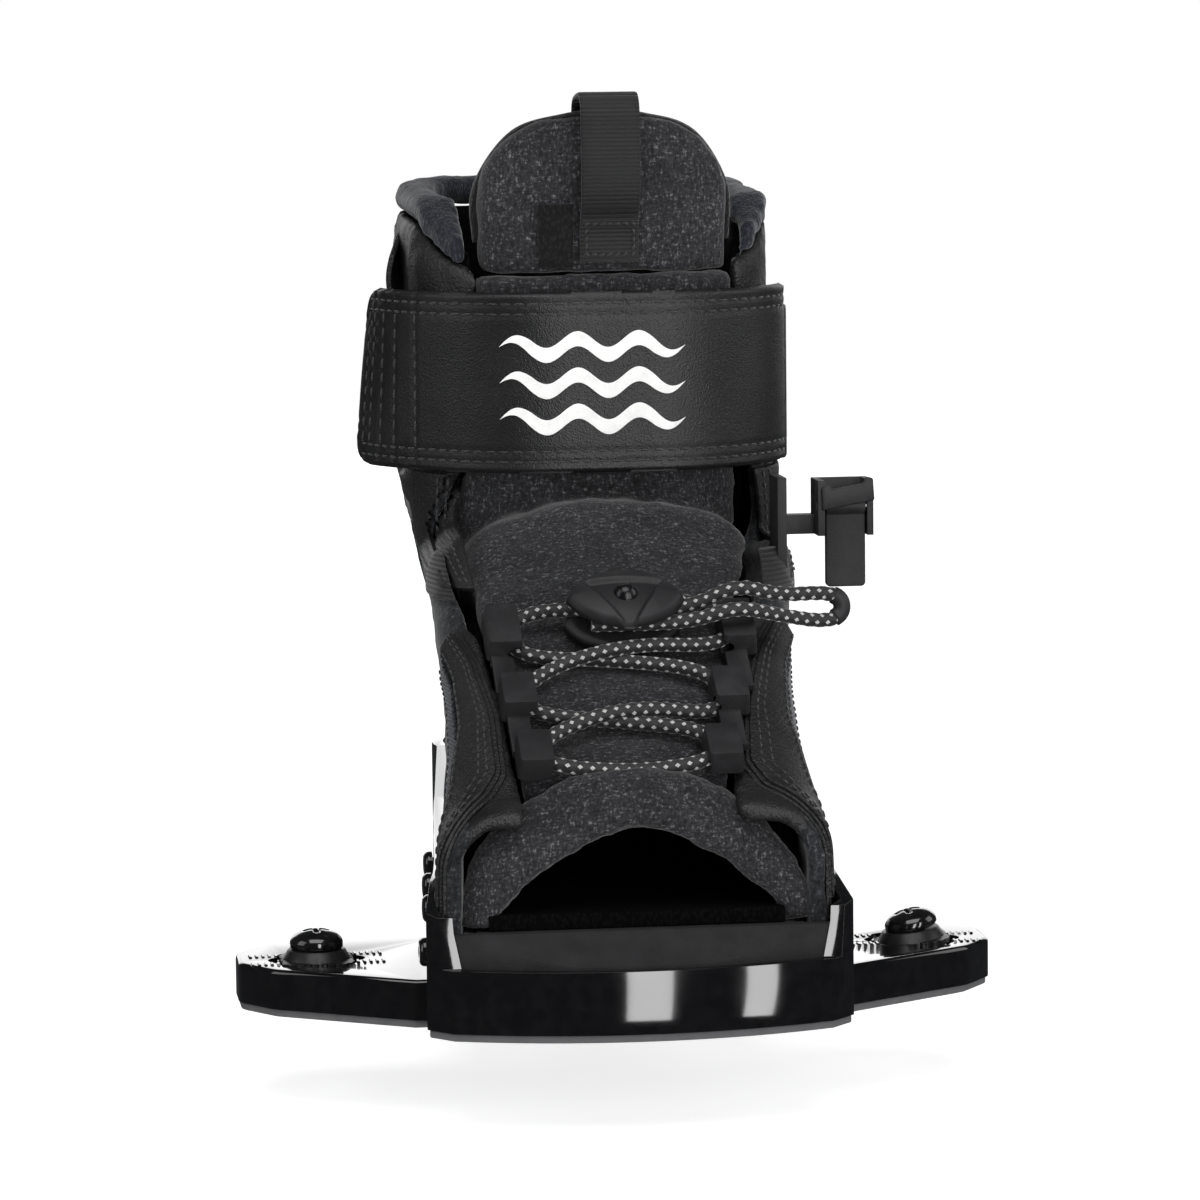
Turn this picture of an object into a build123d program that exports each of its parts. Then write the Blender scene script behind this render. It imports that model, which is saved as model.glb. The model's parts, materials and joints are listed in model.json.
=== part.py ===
from build123d import *
import os
from math import pi, radians, sqrt, tan

os.makedirs("parts", exist_ok=True)

# An open-toe boot binding for a wakeboard: a moulded chassis with two wings that bolt to the
# board, and a laced and strapped boot held in it. Millimetres. The origin is on the underside,
# midway between the two mounting screws. Toes point to -Y, the heel to +Y, up is +Z.

# ---------------------------------------------------------------- driving dimensions
SCREW_SPACING = 152.4          # the board's standard row of inserts, 6 inches apart
SCREW_R = 3.0                  # M6 thread
SHOULDER_R = 3.3               # plain neck under the head
HEAD_R = 6.7
HEAD_H = 5.2
THREAD_TIP_Z = 1.0             # the screw end stays above the resting plane
SLOT_L = 24.5                  # adjustment slot through each wing, along X
SLOT_R = 4.25
WASHER_R = 9.15
WASHER_BORE_R = 3.4
WASHER_T = 3.6
WASHER_POCKET = 0.9            # how deep the toothed underside sits in the wing
TOOTH = 1.5
TOOTH_COUNT = 6

GASKET_T = 2.0
WING_TOP = 12.0
LIP_TOP = 17.5
FLOOR_TOP = 7.0
BLOCK_HALF = 52.8              # at the toes; the rails follow the boot from there
RAIL_START_Y = -17.0
WALL = 3.2
WALL_GAP = 0.3                 # between the upper and the rails
FRONT_Y = -62.0
CORNER_X = 47.0
CORNER_Y = -53.0
SIDE_Y = -46.5
HEEL_Y = 197.0
HEEL_ARC_Y = 150.0
RAIL_FRONT_Z = 30.0
RAIL_Z = 36.0
CUP_Z = 44.0
WING_TIP_X = 96.0
WING_ROOT_FRONT = -34.0
WING_TIP_FRONT = -8.0
WING_BACK = 25.0

TOE_Y = -46.0                  # front edge of the boot
UPPER_BOTTOM = 8.0
BED_TOP = 25.5
SHELL_T = 4.0                  # leather and textile upper
LINER_OUT = 4.3
LINER_IN = 10.0
LINER_FRONT = -34.0
GAP = 0.4
HEEL_END = 184.0

# boot cross-sections across the foot: y, half width, top, corner radius
FOOT = [
    (-46.0, 47.0, 57.0, 14.0),
    (-36.0, 46.2, 60.5, 14.0),
    (-17.0, 45.2, 72.5, 15.0),
    (2.0, 44.0, 85.0, 16.0),
    (21.0, 43.2, 97.5, 17.0),
    (40.0, 42.4, 111.0, 18.0),
    (55.0, 41.6, 122.0, 20.0),
    (70.0, 41.0, 121.0, 21.0),
    (100.0, 39.4, 112.0, 21.0),
    (150.0, 36.0, 100.0, 20.0),
    (172.0, 30.5, 86.0, 18.0),
]
HEEL_LAST = (HEEL_END, 17.5, 66.0, 13.0)
CROWN = 3.0
BASE_X = -0.5                  # centre line of the boot at the toes
YAW = 0.05                     # its sideways drift per mm towards the heel
TILT = 0.025                   # and per mm of height
KNEE_Z = 30.0                  # the upper's sides are upright below this height

SHAFT_X = 7.5                  # the leg leans a little to +X of the board's centre line
SHAFT_Y = 124.0
SHAFT_HALF_X = 49.0
SHAFT_HALF_Y = 57.0
SHAFT_CORNER = 38.0
SHAFT_LOW_Z = 125.0
SHAFT_HIGH_Z = 181.0
CUFF_TOP_Z = 206.0
RIM_FRONT = (60.0, 172.0)      # cuff's top edge in side view, from the shin ...
RIM_SIDE = (98.0, 192.0)
RIM_BACK = (190.0, 196.0)      # ... to the calf
RIM_T = 8.0                    # height of the padded rim above the cuff's edge

TONGUE_OUT = 1.0
TONGUE_IN = 9.0
HINGE_Z = 180.0                # where the tongue flexes
TONGUE_TOP = 222.0
TONGUE_HALF = 33.0
TONGUE_X = 9.0
TONGUE_Y = 68.5                # front face of the free part of the tongue
TONGUE_T = 10.0
TONGUE_R = 62.0
FLEX_ROOM_Y = 94.0

STRAP_Z0 = 127.8
STRAP_Z1 = 175.4
STRAP_IN = 2.2
STRAP_T = 3.0
STRAP_LEFT_Y = 104.0
STRAP_RIGHT_Y = 92.0
ANCHOR_BACK_Y = 150.0
PATCH_T = 0.9

LACE_R = 1.9
BLOCK_H = 7.0
BLOCK_W = 9.5
BLOCK_L = 13.0
HOOK_R = 4.0

SIDE = {"left": -1, "right": 1}


def centre_x(y, z):
    """Centre line of the boot: it drifts to +X towards the heel, and the leg leans over a little."""
    return BASE_X + YAW * (y + 40.0) + TILT * max(0.0, z - 45.0)


def foot_at(y):
    """Half width, top height and corner radius of the foot at y."""
    rows = FOOT + [HEEL_LAST]
    for low, high in zip(rows, rows[1:]):
        if y <= high[0]:
            t = max(0.0, (y - low[0]) / (high[0] - low[0]))
            return [a + t * (b - a) for a, b in zip(low[1:], high[1:])]
    return list(rows[-1][1:])


def skin_z(dx, y):
    """Height of the boot's outer skin at dx from its centre line."""
    half, top, corner = foot_at(y)
    flat = half - corner
    if abs(dx) <= flat:
        return top - CROWN * (dx / flat) ** 2
    reach = min(abs(dx) - flat, corner)
    return top - CROWN - corner + sqrt(corner ** 2 - reach ** 2)


def on_skin(dx, y, lift):
    """A point above the skin, in the part's frame."""
    z = skin_z(dx, y)
    return (centre_x(y, z) + dx, y, z + lift)


# ---------------------------------------------------------------- shapes that several pieces share
def foot_section(y, half, top, corner, bottom):
    """Closed outline across the foot: flat base, upright sides, rounded shoulders, crowned top."""
    shoulder = top - CROWN
    knee = shoulder - corner
    low, mid, high = centre_x(y, 0), centre_x(y, knee), centre_x(y, top)
    cut = corner * (1 - sqrt(0.5))
    flat = half - corner
    with BuildSketch(Plane(origin=(0, y, 0), x_dir=(1, 0, 0), z_dir=(0, -1, 0))) as section:
        with BuildLine():
            Polyline((low + half, bottom), (low + half, KNEE_Z), (mid + half, knee))
            ThreePointArc((mid + half, knee), (high + half - cut, shoulder - cut), (high + flat, shoulder))
            ThreePointArc((high + flat, shoulder), (high, top), (high - flat, shoulder))
            ThreePointArc((high - flat, shoulder), (high + cut - half, shoulder - cut), (mid - half, knee))
            Polyline((mid - half, knee), (low - half, KNEE_Z), (low - half, bottom))
            Line((low - half, bottom), (low + half, bottom))
        make_face()
    return section.sketch


def shaft_section(x, y, half_x, half_y, corner, z):
    with BuildSketch(Plane.XY.offset(z)) as section:
        with Locations((x, y)):
            RectangleRounded(2 * half_x, 2 * half_y, corner)
    return section.sketch


def boot_form(d, bottom, past=0.0):
    """The whole boot as one solid, its skin moved out by d, and its toe end run on by past."""
    rows = [(y + (d if y == HEEL_END else 0), w + d, t + d, r + d) for y, w, t, r in FOOT + [HEEL_LAST]]
    if past:
        rows.insert(0, (TOE_Y - past,) + rows[0][1:])
    with BuildPart() as form:
        loft([foot_section(*row, bottom) for row in rows], ruled=True)
        half_x, half_y, corner = SHAFT_HALF_X + d, SHAFT_HALF_Y + d, SHAFT_CORNER + d
        low = shaft_section(centre_x(SHAFT_Y, 60), SHAFT_Y, 34 + d, 56 + d, 28 + d, 60)
        knee = shaft_section(SHAFT_X, SHAFT_Y, half_x, half_y, corner, SHAFT_LOW_Z)
        loft([low, knee], ruled=True)
        extrude(knee, SHAFT_HIGH_Z - SHAFT_LOW_Z)
        upper = shaft_section(SHAFT_X, SHAFT_Y, half_x, half_y, corner, SHAFT_HIGH_Z)
        top = shaft_section(SHAFT_X + 1.5, SHAFT_Y, half_x - 1, half_y, corner, CUFF_TOP_Z)
        loft([upper, top], ruled=True)
    return form.part


def front_prism(points, y0, y1):
    """Everything behind an outline drawn as seen from the toe, between two depths."""
    with BuildPart() as prism:
        with BuildSketch(Plane(origin=(0, y1, 0), x_dir=(1, 0, 0), z_dir=(0, -1, 0))):
            with BuildLine():
                Polyline(*points, close=True)
            make_face()
        extrude(amount=y1 - y0)
    return prism.part


def side_prism(points, half=90.0):
    """Everything within an outline drawn in side view, across the whole width."""
    with BuildPart() as prism:
        with BuildSketch(Plane(origin=(-half, 0, 0), x_dir=(0, 1, 0), z_dir=(1, 0, 0))):
            with BuildLine():
                Polyline(*points, close=True)
            make_face()
        extrude(amount=2 * half)
    return prism.part


def box_between(low, high):
    size = [b - a for a, b in zip(low, high)]
    middle = [(a + b) / 2 for a, b in zip(low, high)]
    with BuildPart() as block:
        with Locations(tuple(middle)):
            Box(*size)
    return block.part


def raised(outline, z0, z1):
    """A plan outline drawn at z = 0, as a block between two heights."""
    return extrude(outline, z1 - z0, mode=Mode.PRIVATE).moved(Location((0, 0, z0)))


def throat(grow):
    """The opening between the two sides of the upper, where the tongue shows."""
    g = grow
    points = [
        (-27 - g, 50), (-28 - g, 76), (-31 - g, 97), (-33 - g, 112), (-27 - g, 130), (-25 - g, 178),
        (-26 - g, 215), (46 + g, 215), (43 + g, 178), (44 + g, 130), (44 + g, 112), (36 + g, 97), (28 + g, 76),
        (23 + g, 50),
    ]
    return front_prism(points, -60, FLEX_ROOM_Y)


def above_rim(lift):
    """All that is higher than the cuff's edge."""
    (y0, z0), (y1, z1), (y2, z2) = RIM_FRONT, RIM_SIDE, RIM_BACK
    points = [(y0 - 20, z0 + lift), (y0, z0 + lift), (y1, z1 + lift), (y2, z2 + lift), (y2, 260), (y0 - 20, 260)]
    return side_prism(points)


# The boot's nested skins, made once and used by every soft piece
OUTER = boot_form(0, UPPER_BOTTOM)
CAVITY = boot_form(-SHELL_T, UPPER_BOTTOM - 1, past=1)
LINER_SKIN = boot_form(-LINER_OUT, BED_TOP + 0.3)
LINER_HOLE = boot_form(-LINER_IN, BED_TOP, past=1)
THROAT = throat(0)
THROAT_WIDE = throat(GAP)


def save(piece, name):
    piece.part.label = name
    export_step(piece.part, f"parts/{name}.step")


def save_largest(piece, name):
    """Save the biggest solid only: trimming can leave offcuts behind."""
    with BuildPart() as main:
        add(piece.part.solids().sort_by(SortBy.VOLUME)[-1])
    save(main, name)


# ---------------------------------------------------------------- chassis
def rail_x(side, y, inset=0.0):
    """Outer face of a rail, a wall outside the upper."""
    return centre_x(y, 0) + side * (foot_at(y)[0] + WALL_GAP + WALL - inset)


def block_outline(inset):
    """Plan of the chassis' middle: bowed toe edge, rails that follow the boot, round heel."""
    corner_x = CORNER_X - 0.2 * inset
    corner_y = CORNER_Y + inset
    side_x = BLOCK_HALF - inset
    side_y = SIDE_Y + 0.2 * inset
    rail_y = [row[0] for row in FOOT if RAIL_START_Y <= row[0] <= HEEL_ARC_Y]
    with BuildSketch() as outline:
        with BuildLine():
            ThreePointArc((-corner_x, corner_y), (0, FRONT_Y + inset), (corner_x, corner_y))
            right = [(rail_x(1, y, inset), y) for y in rail_y]
            left = [(rail_x(-1, y, inset), y) for y in rail_y]
            Polyline((corner_x, corner_y), (side_x, side_y), *right)
            ThreePointArc(right[-1], (centre_x(HEEL_Y, 0), HEEL_Y - inset), left[-1])
            Polyline(*reversed(left), (-side_x, side_y), (-corner_x, corner_y))
        make_face()
    return outline.sketch


def wing_outline(side, inset):
    """Plan of one wing, wide at its root and rounded at its tip."""
    tip = WING_TIP_X - inset
    with BuildSketch() as outline:
        with BuildLine():
            Polyline(
                (side * 40, WING_ROOT_FRONT + inset),
                (side * 54.5, WING_ROOT_FRONT + inset),
                (side * (tip - 8), WING_TIP_FRONT - 5 + inset),
                (side * tip, WING_TIP_FRONT + 6 + inset),
                (side * tip, WING_BACK - 12 - inset),
                (side * (tip - 10), WING_BACK - inset),
                (side * 40, WING_BACK + 2 - inset),
                close=True,
            )
        make_face()
        outer = outline.vertices().filter_by(lambda v: abs(v.X) > 60)
        fillet(outer, 7)
    return outline.sketch


def slot(side):
    with BuildSketch(Plane.XY.offset(-1)) as outline:
        with Locations((side * SCREW_SPACING / 2, 0)):
            SlotOverall(SLOT_L, 2 * SLOT_R)
    return outline.sketch


def make_gasket():
    with BuildPart() as gasket:
        extrude(block_outline(0.6), GASKET_T)
        for side in (-1, 1):
            extrude(wing_outline(side, 0.6), GASKET_T)
            extrude(slot(side), 2 * GASKET_T, mode=Mode.SUBTRACT)
    save(gasket, "base_gasket")


RAIL_SCREWS = [(y, 18.0) for y in (-28.0, 34.0, 68.0, 104.0)]
RAIL_BORE_L = 20.0
HEAD_STAND = 0.9               # the rail is not quite square to its screws


def bar_inner(side, y):
    """Where a rail screw ends, just inside the clamp bar."""
    return centre_x(y, 0) + side * (foot_at(y)[0] - SHELL_T - 2.6)


def rail_seat(side, y):
    """Where a rail screw's head sits on the outside of the rail."""
    if y > RAIL_START_Y:
        return rail_x(side, y) + side * HEAD_STAND
    t = (y - SIDE_Y) / (RAIL_START_Y - SIDE_Y)
    return side * BLOCK_HALF + t * (rail_x(side, RAIL_START_Y) - side * BLOCK_HALF) + side * HEAD_STAND


def rail_bores(side, radius):
    """Round bars across one rail, along its screws."""
    with BuildPart() as drill:
        for y, z in RAIL_SCREWS:
            start = bar_inner(side, y) - side
            with BuildSketch(Plane(origin=(start, y, z), x_dir=(0, 1, 0), z_dir=(side, 0, 0))):
                Circle(radius)
            extrude(amount=RAIL_BORE_L)
    return drill.part


def make_wing(side):
    """One bare wing with a softened rim."""
    with BuildPart() as wing:
        extrude(wing_outline(side, 0), WING_TOP - GASKET_T)
        rim = wing.faces().sort_by(Axis.Z)[-1].edges().filter_by(lambda e: abs(e.center().X) > 41)
        fillet(rim, 1.2)
    return wing.part.moved(Location((0, 0, GASKET_T)))


def make_chassis():
    with BuildPart() as chassis:
        add(raised(block_outline(0), GASKET_T, CUP_Z))
        add(raised(block_outline(WALL), FLOOR_TOP, CUP_Z + 5), mode=Mode.SUBTRACT)
        # the walls step up from the low toe lip to the rails and the heel cup
        open_top = side_prism([
            (-80, LIP_TOP), (-50.5, LIP_TOP), (-49.5, RAIL_FRONT_Z), (-30, RAIL_Z), (110, RAIL_Z), (150, CUP_Z),
            (220, CUP_Z), (220, 80), (-80, 80),
        ])
        add(open_top, mode=Mode.SUBTRACT)
        for side in (-1, 1):
            wing = make_wing(side)
            add(wing - raised(block_outline(WALL), FLOOR_TOP, CUP_Z))
            extrude(slot(side), 2 * WING_TOP, mode=Mode.SUBTRACT)
            with BuildSketch(Plane.XY.offset(WING_TOP - WASHER_POCKET)):
                with Locations((side * SCREW_SPACING / 2, 0)):
                    RectangleRounded(2 * WASHER_R + 1.0, 2 * WASHER_R + 1.0, 4)
            extrude(amount=WASHER_POCKET + 1, mode=Mode.SUBTRACT)
            add(rail_bores(side, 2.05), mode=Mode.SUBTRACT)
    save(chassis, "chassis")


def toe_pad():
    with BuildPart() as toe:
        add(raised(block_outline(WALL + 0.3), FLOOR_TOP, BED_TOP))
        add(box_between((-90, TOE_Y, 0), (90, 220, 80)), mode=Mode.SUBTRACT)
        slope = side_prism([(-80, LIP_TOP + 0.6), (-57.4, LIP_TOP + 0.6), (-49.5, BED_TOP), (-49.5, 60), (-80, 60)])
        add(slope, mode=Mode.SUBTRACT)
    return toe.part


def make_footbed():
    """Foam bed: a slab inside the upper and a bevelled toe pad that fills the tray's front."""
    with BuildPart() as bed:
        add(boot_form(-LINER_OUT - 3.1, FLOOR_TOP))
        add(box_between((-90, -90, BED_TOP), (90, 220, 260)), mode=Mode.SUBTRACT)
        add(toe_pad())
    save(bed, "footbed")


def make_insole():
    with BuildPart() as sole:
        add(boot_form(-LINER_IN - GAP, BED_TOP + 0.3))
        add(box_between((-90, -90, BED_TOP + 4), (90, 220, 260)), mode=Mode.SUBTRACT)
    save(sole, "insole")


def make_clamp_bar(name):
    """Metal bar that grips the lower edge of the upper against the rail."""
    side = SIDE[name]
    with BuildPart() as bar:
        add(boot_form(-SHELL_T - 0.05, FLOOR_TOP + 1))
        add(boot_form(-SHELL_T - 3.0, FLOOR_TOP), mode=Mode.SUBTRACT)
        keep = box_between((0 if side > 0 else -90, -40, 10), (90 if side > 0 else 0, 116, BED_TOP - 1))
        add(keep, mode=Mode.INTERSECT)
        add(rail_bores(side, 2.05), mode=Mode.SUBTRACT)
    save(bar, f"clamp_bar_{name}")


def make_rail_screws(name):
    side = SIDE[name]
    with BuildPart() as screws:
        for y, z in RAIL_SCREWS:
            seat = rail_seat(side, y)
            out = Plane(origin=(seat, y, z), x_dir=(0, 1, 0), z_dir=(side, 0, 0))
            with BuildSketch(out):
                Circle(3.6)
            head = extrude(amount=2.2)
            fillet(head.faces().sort_by(Axis.X)[-1 if side > 0 else 0].edges(), 1.4)
            with BuildSketch(out):
                Circle(1.98)
            extrude(amount=-abs(seat - bar_inner(side, y)))
            with BuildSketch(out.offset(2.2)):
                RegularPolygon(1.5, 6)
            extrude(amount=-1.2, mode=Mode.SUBTRACT)
    save(screws, f"rail_screws_{name}")


def make_washer(name):
    """Toothed washer that locks into the wing: round top, stepped teeth on its two ends."""
    side = SIDE[name]
    x = side * SCREW_SPACING / 2
    base = WING_TOP - WASHER_POCKET + 0.05
    with BuildPart() as washer:
        with BuildSketch(Plane.XY.offset(base)):
            with Locations((x, 0)):
                RectangleRounded(2 * WASHER_R, 2 * WASHER_R, 3.5)
        extrude(amount=WASHER_POCKET)
        with BuildSketch(Plane.XY.offset(base + WASHER_POCKET)):
            with Locations((x, 0)):
                Circle(WASHER_R)
        extrude(amount=WASHER_T - WASHER_POCKET, taper=14)
        for end in (-1, 1):
            for k in range(TOOTH_COUNT):
                y = (k - (TOOTH_COUNT - 1) / 2) * 2 * TOOTH
                with Locations((x + end * WASHER_R, y, base + 0.2 + WASHER_POCKET / 2)):
                    Box(TOOTH, TOOTH, WASHER_POCKET, mode=Mode.SUBTRACT)
        with Locations((x, 0, base - 1)):
            Cylinder(WASHER_BORE_R, 12, align=(Align.CENTER, Align.CENTER, Align.MIN), mode=Mode.SUBTRACT)
    save(washer, f"washer_{name}")


def make_screw(name):
    """M6 pan-head machine screw with a cross recess."""
    side = SIDE[name]
    x = side * SCREW_SPACING / 2
    seat = WING_TOP - WASHER_POCKET + 0.05 + WASHER_T + 0.05
    shoulder_end = WING_TOP - WASHER_POCKET - 0.6
    with BuildPart() as screw:
        with BuildSketch(Plane.XZ.offset(0)):
            with BuildLine():
                Line((0, seat), (HEAD_R, seat))
                Line((HEAD_R, seat), (HEAD_R, seat + 1.2))
                ThreePointArc((HEAD_R, seat + 1.2), (HEAD_R * 0.62, seat + 4.2), (0, seat + HEAD_H))
                Line((0, seat + HEAD_H), (0, seat))
            make_face()
        revolve(axis=Axis.Z)
        with Locations((0, 0, seat)):
            Cylinder(SHOULDER_R, seat - shoulder_end, align=(Align.CENTER, Align.CENTER, Align.MAX))
        with Locations((0, 0, shoulder_end)):
            Cylinder(SCREW_R, shoulder_end - THREAD_TIP_Z, align=(Align.CENTER, Align.CENTER, Align.MAX))
        with Locations((0, 0, seat + HEAD_H)):
            Box(6.0, 1.2, 4.4, mode=Mode.SUBTRACT)
            Box(1.2, 6.0, 4.4, mode=Mode.SUBTRACT)
    screw.part = screw.part.moved(Location((x, 0, 0)))
    screw.part.label = f"screw_{name}"
    export_step(screw.part, f"parts/screw_{name}.step")


# ---------------------------------------------------------------- upper
SEAM_Y = 150.0                 # where the sides meet the heel panel


def shell(low_y, high_y):
    with BuildPart() as piece:
        add(OUTER)
        add(CAVITY, mode=Mode.SUBTRACT)
        add(box_between((-90, low_y, 0), (90, high_y, 260)), mode=Mode.INTERSECT)
        add(above_rim(0), mode=Mode.SUBTRACT)
    return piece.part


def half_space(side, y0=-80.0, y1=230.0):
    """Everything on one side of the boot's centre line."""
    a, b = centre_x(y0, 60), centre_x(y1, 60)
    with BuildPart() as half:
        with BuildSketch():
            with BuildLine():
                Polyline((a, y0), (b, y1), (side * 120, y1), (side * 120, y0), close=True)
            make_face()
        extrude(amount=260)
    return half.part


def make_quarter(name):
    with BuildPart() as quarter:
        add(shell(TOE_Y, SEAM_Y))
        add(THROAT_WIDE, mode=Mode.SUBTRACT)
        add(half_space(SIDE[name]), mode=Mode.INTERSECT)
        add(rail_bores(SIDE[name], 2.05), mode=Mode.SUBTRACT)
    save(quarter, f"quarter_{name}")


def make_heel_panel():
    with BuildPart() as panel:
        add(shell(SEAM_Y, 230))
    save(panel, "heel_panel")


def make_liner():
    """Padded sock inside the upper, open at the toe, the throat and the top."""
    with BuildPart() as liner:
        add(LINER_SKIN)
        add(LINER_HOLE, mode=Mode.SUBTRACT)
        add(box_between((-90, LINER_FRONT, 0), (90, 230, 260)), mode=Mode.INTERSECT)
        add(above_rim(0), mode=Mode.SUBTRACT)
        add(THROAT_WIDE, mode=Mode.SUBTRACT)
        add(shell(SEAM_Y, 230), mode=Mode.SUBTRACT)
    save_largest(liner, "liner")


def make_toe_roll():
    """Rolled padded edge that arches over the toes."""
    with BuildPart() as roll:
        add(LINER_SKIN)
        add(LINER_HOLE, mode=Mode.SUBTRACT)
        add(box_between((-90, TOE_Y, 0), (90, LINER_FRONT - GAP, 260)), mode=Mode.INTERSECT)
    save(roll, "toe_roll")


def make_tongue_lower():
    with BuildPart() as tongue:
        add(boot_form(-TONGUE_OUT, BED_TOP))
        add(boot_form(-TONGUE_IN, BED_TOP, past=1), mode=Mode.SUBTRACT)
        add(THROAT, mode=Mode.INTERSECT)
        add(box_between((-90, LINER_FRONT, 45), (90, FLEX_ROOM_Y, HINGE_Z - GAP)), mode=Mode.INTERSECT)
    save(tongue, "tongue_lower")


def tongue_arc(inset, thickness, z0, z1):
    """A band bent round the shin."""
    with BuildPart() as band:
        with BuildSketch(Plane.XY.offset(z0)):
            with Locations((TONGUE_X, TONGUE_Y + TONGUE_R)):
                Circle(TONGUE_R - inset)
                Circle(TONGUE_R - inset - thickness, mode=Mode.SUBTRACT)
            with Locations((TONGUE_X, TONGUE_Y + TONGUE_R + 40)):
                Rectangle(300, 2 * TONGUE_R + 40, mode=Mode.SUBTRACT)
        extrude(amount=z1 - z0)
    return band.part


def tongue_face(half, top):
    """The round-topped outline of the tongue as seen from the toe, as a deep block."""
    with BuildPart() as face:
        with BuildSketch(Plane(origin=(TONGUE_X, 130, 0), x_dir=(1, 0, 0), z_dir=(0, -1, 0))):
            with BuildLine():
                Line((-half, HINGE_Z), (half, HINGE_Z))
                Line((half, HINGE_Z), (half, top - 20))
                ThreePointArc((half, top - 20), (half - 9, top - 5), (half - 22, top - 1))
                ThreePointArc((half - 22, top - 1), (0, top), (22 - half, top - 1))
                ThreePointArc((22 - half, top - 1), (9 - half, top - 5), (-half, top - 20))
                Line((-half, top - 20), (-half, HINGE_Z))
            make_face()
        extrude(amount=100)
    return face.part


def make_tongue_upper():
    half, top = TONGUE_HALF, TONGUE_TOP
    with BuildPart() as tongue:
        add(tongue_arc(0, TONGUE_T, HINGE_Z, top + 5))
        add(tongue_face(half, top), mode=Mode.INTERSECT)
    save(tongue, "tongue_upper")


def make_pull_loop():
    """Webbing sewn to the front of the tongue, standing off it and over its top."""
    w, t, out = 15.5, 1.6, 6.0
    front, back = TONGUE_Y, TONGUE_Y + TONGUE_T
    with BuildPart() as loop:
        with BuildSketch(Plane(origin=(TONGUE_X - w / 2, 0, 0), x_dir=(0, 1, 0), z_dir=(1, 0, 0))):
            with BuildLine() as path:
                Polyline(
                    (front - 0.9, HINGE_Z + 3), (front - 0.9, HINGE_Z + 13), (front - out, HINGE_Z + 20),
                    (front - out, TONGUE_TOP + 1), (front - 1, TONGUE_TOP + 4.5), (back - 2, TONGUE_TOP + 4.5),
                    (back + 4, TONGUE_TOP + 1), (back + 4, TONGUE_TOP - 12), (back + 1.7, TONGUE_TOP - 18),
                    (back + 1.7, TONGUE_TOP - 26),
                )
                fillet(path.vertices().sort_by(Axis.Z)[2:], 1.5)
            trace(path.line, t)
        extrude(amount=w)
    save(loop, "pull_loop")


def make_tongue_label():
    with BuildPart() as label:
        add(tongue_arc(-0.85, 0.8, HINGE_Z + 1.5, HINGE_Z + 14.5))
        add(box_between((TONGUE_X - 18.6, 0, 100), (TONGUE_X - 9.2, 110, 260)), mode=Mode.INTERSECT)
    save(label, "tongue_label")


def make_collar(name):
    """Padded rim round the top of the cuff."""
    side = SIDE[name]
    with BuildPart() as collar:
        add(boot_form(0.6, BED_TOP))
        add(boot_form(-LINER_IN - 0.6, BED_TOP - 1), mode=Mode.SUBTRACT)
        add(above_rim(0.15), mode=Mode.INTERSECT)
        add(above_rim(RIM_T), mode=Mode.SUBTRACT)
        add(throat(GAP + 1.5), mode=Mode.SUBTRACT)
        add(half_space(side), mode=Mode.INTERSECT)
    save(collar, f"collar_{name}")


def make_overlay(name):
    """Leather facing along the throat that carries the lace guides."""
    if name == "left":
        points = [(-49, 37.5), (-43.5, 37.5), (-28.5, 58), (-29.5, 76), (-32.5, 97), (-43, 97), (-39, 76), (-40, 60)]
    else:
        points = [(47, 37.5), (41, 37.5), (24.5, 56), (30.5, 76), (38, 97), (47, 97), (43, 76), (37, 60)]
    with BuildPart() as overlay:
        add(boot_form(2.0, BED_TOP))
        add(OUTER, mode=Mode.SUBTRACT)
        add(front_prism(points, TOE_Y + 0.5, 34), mode=Mode.INTERSECT)
        add(side_prism([(-50, 37), (-33, 37), (-12, 52), (34, 82), (34, 120), (-50, 120)]), mode=Mode.INTERSECT)
    save_largest(overlay, f"overlay_{name}")


def make_gusset(name):
    """Short webbing that ties the facing to the cuff."""
    side = SIDE[name]
    with BuildPart() as gusset:
        add(boot_form(1.4, BED_TOP))
        add(OUTER, mode=Mode.SUBTRACT)
        x0, x1 = sorted((side * 35.5, side * 47.5))
        add(box_between((x0 + 3, 30, 98), (x1 + 3, 60, 109)), mode=Mode.INTERSECT)
    save(gusset, f"gusset_{name}")


def make_cuff_flap(name):
    """Leather flap at the front corner of the cuff, under the strap."""
    side = SIDE[name]
    with BuildPart() as flap:
        add(boot_form(1.6, BED_TOP))
        add(OUTER, mode=Mode.SUBTRACT)
        add(box_between((-90, 42, 110), (90, 140, 126.8)), mode=Mode.INTERSECT)
        add(half_space(side), mode=Mode.INTERSECT)
        add(THROAT_WIDE, mode=Mode.SUBTRACT)
    save_largest(flap, f"cuff_flap_{name}")


# ---------------------------------------------------------------- strap
def shaft_ring(inner, outer, z0, z1):
    with BuildPart() as ring:
        with BuildSketch(Plane.XY.offset(z0)):
            with Locations((SHAFT_X, SHAFT_Y)):
                RectangleRounded(2 * (SHAFT_HALF_X + outer), 2 * (SHAFT_HALF_Y + outer), SHAFT_CORNER + outer)
                RectangleRounded(
                    2 * (SHAFT_HALF_X + inner), 2 * (SHAFT_HALF_Y + inner), SHAFT_CORNER + inner, mode=Mode.SUBTRACT
                )
        extrude(amount=z1 - z0)
    return ring.part


def make_strap():
    """Wide strap across the shin: sewn at the right, hook and loop at the left."""
    with BuildPart() as strap:
        add(shaft_ring(STRAP_IN, STRAP_IN + STRAP_T, STRAP_Z0, STRAP_Z1))
        add(box_between((-90, STRAP_LEFT_Y, 0), (SHAFT_X, 230, 260)), mode=Mode.SUBTRACT)
        add(box_between((SHAFT_X, STRAP_RIGHT_Y, 0), (90, 230, 260)), mode=Mode.SUBTRACT)
    save(strap, "strap")


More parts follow.
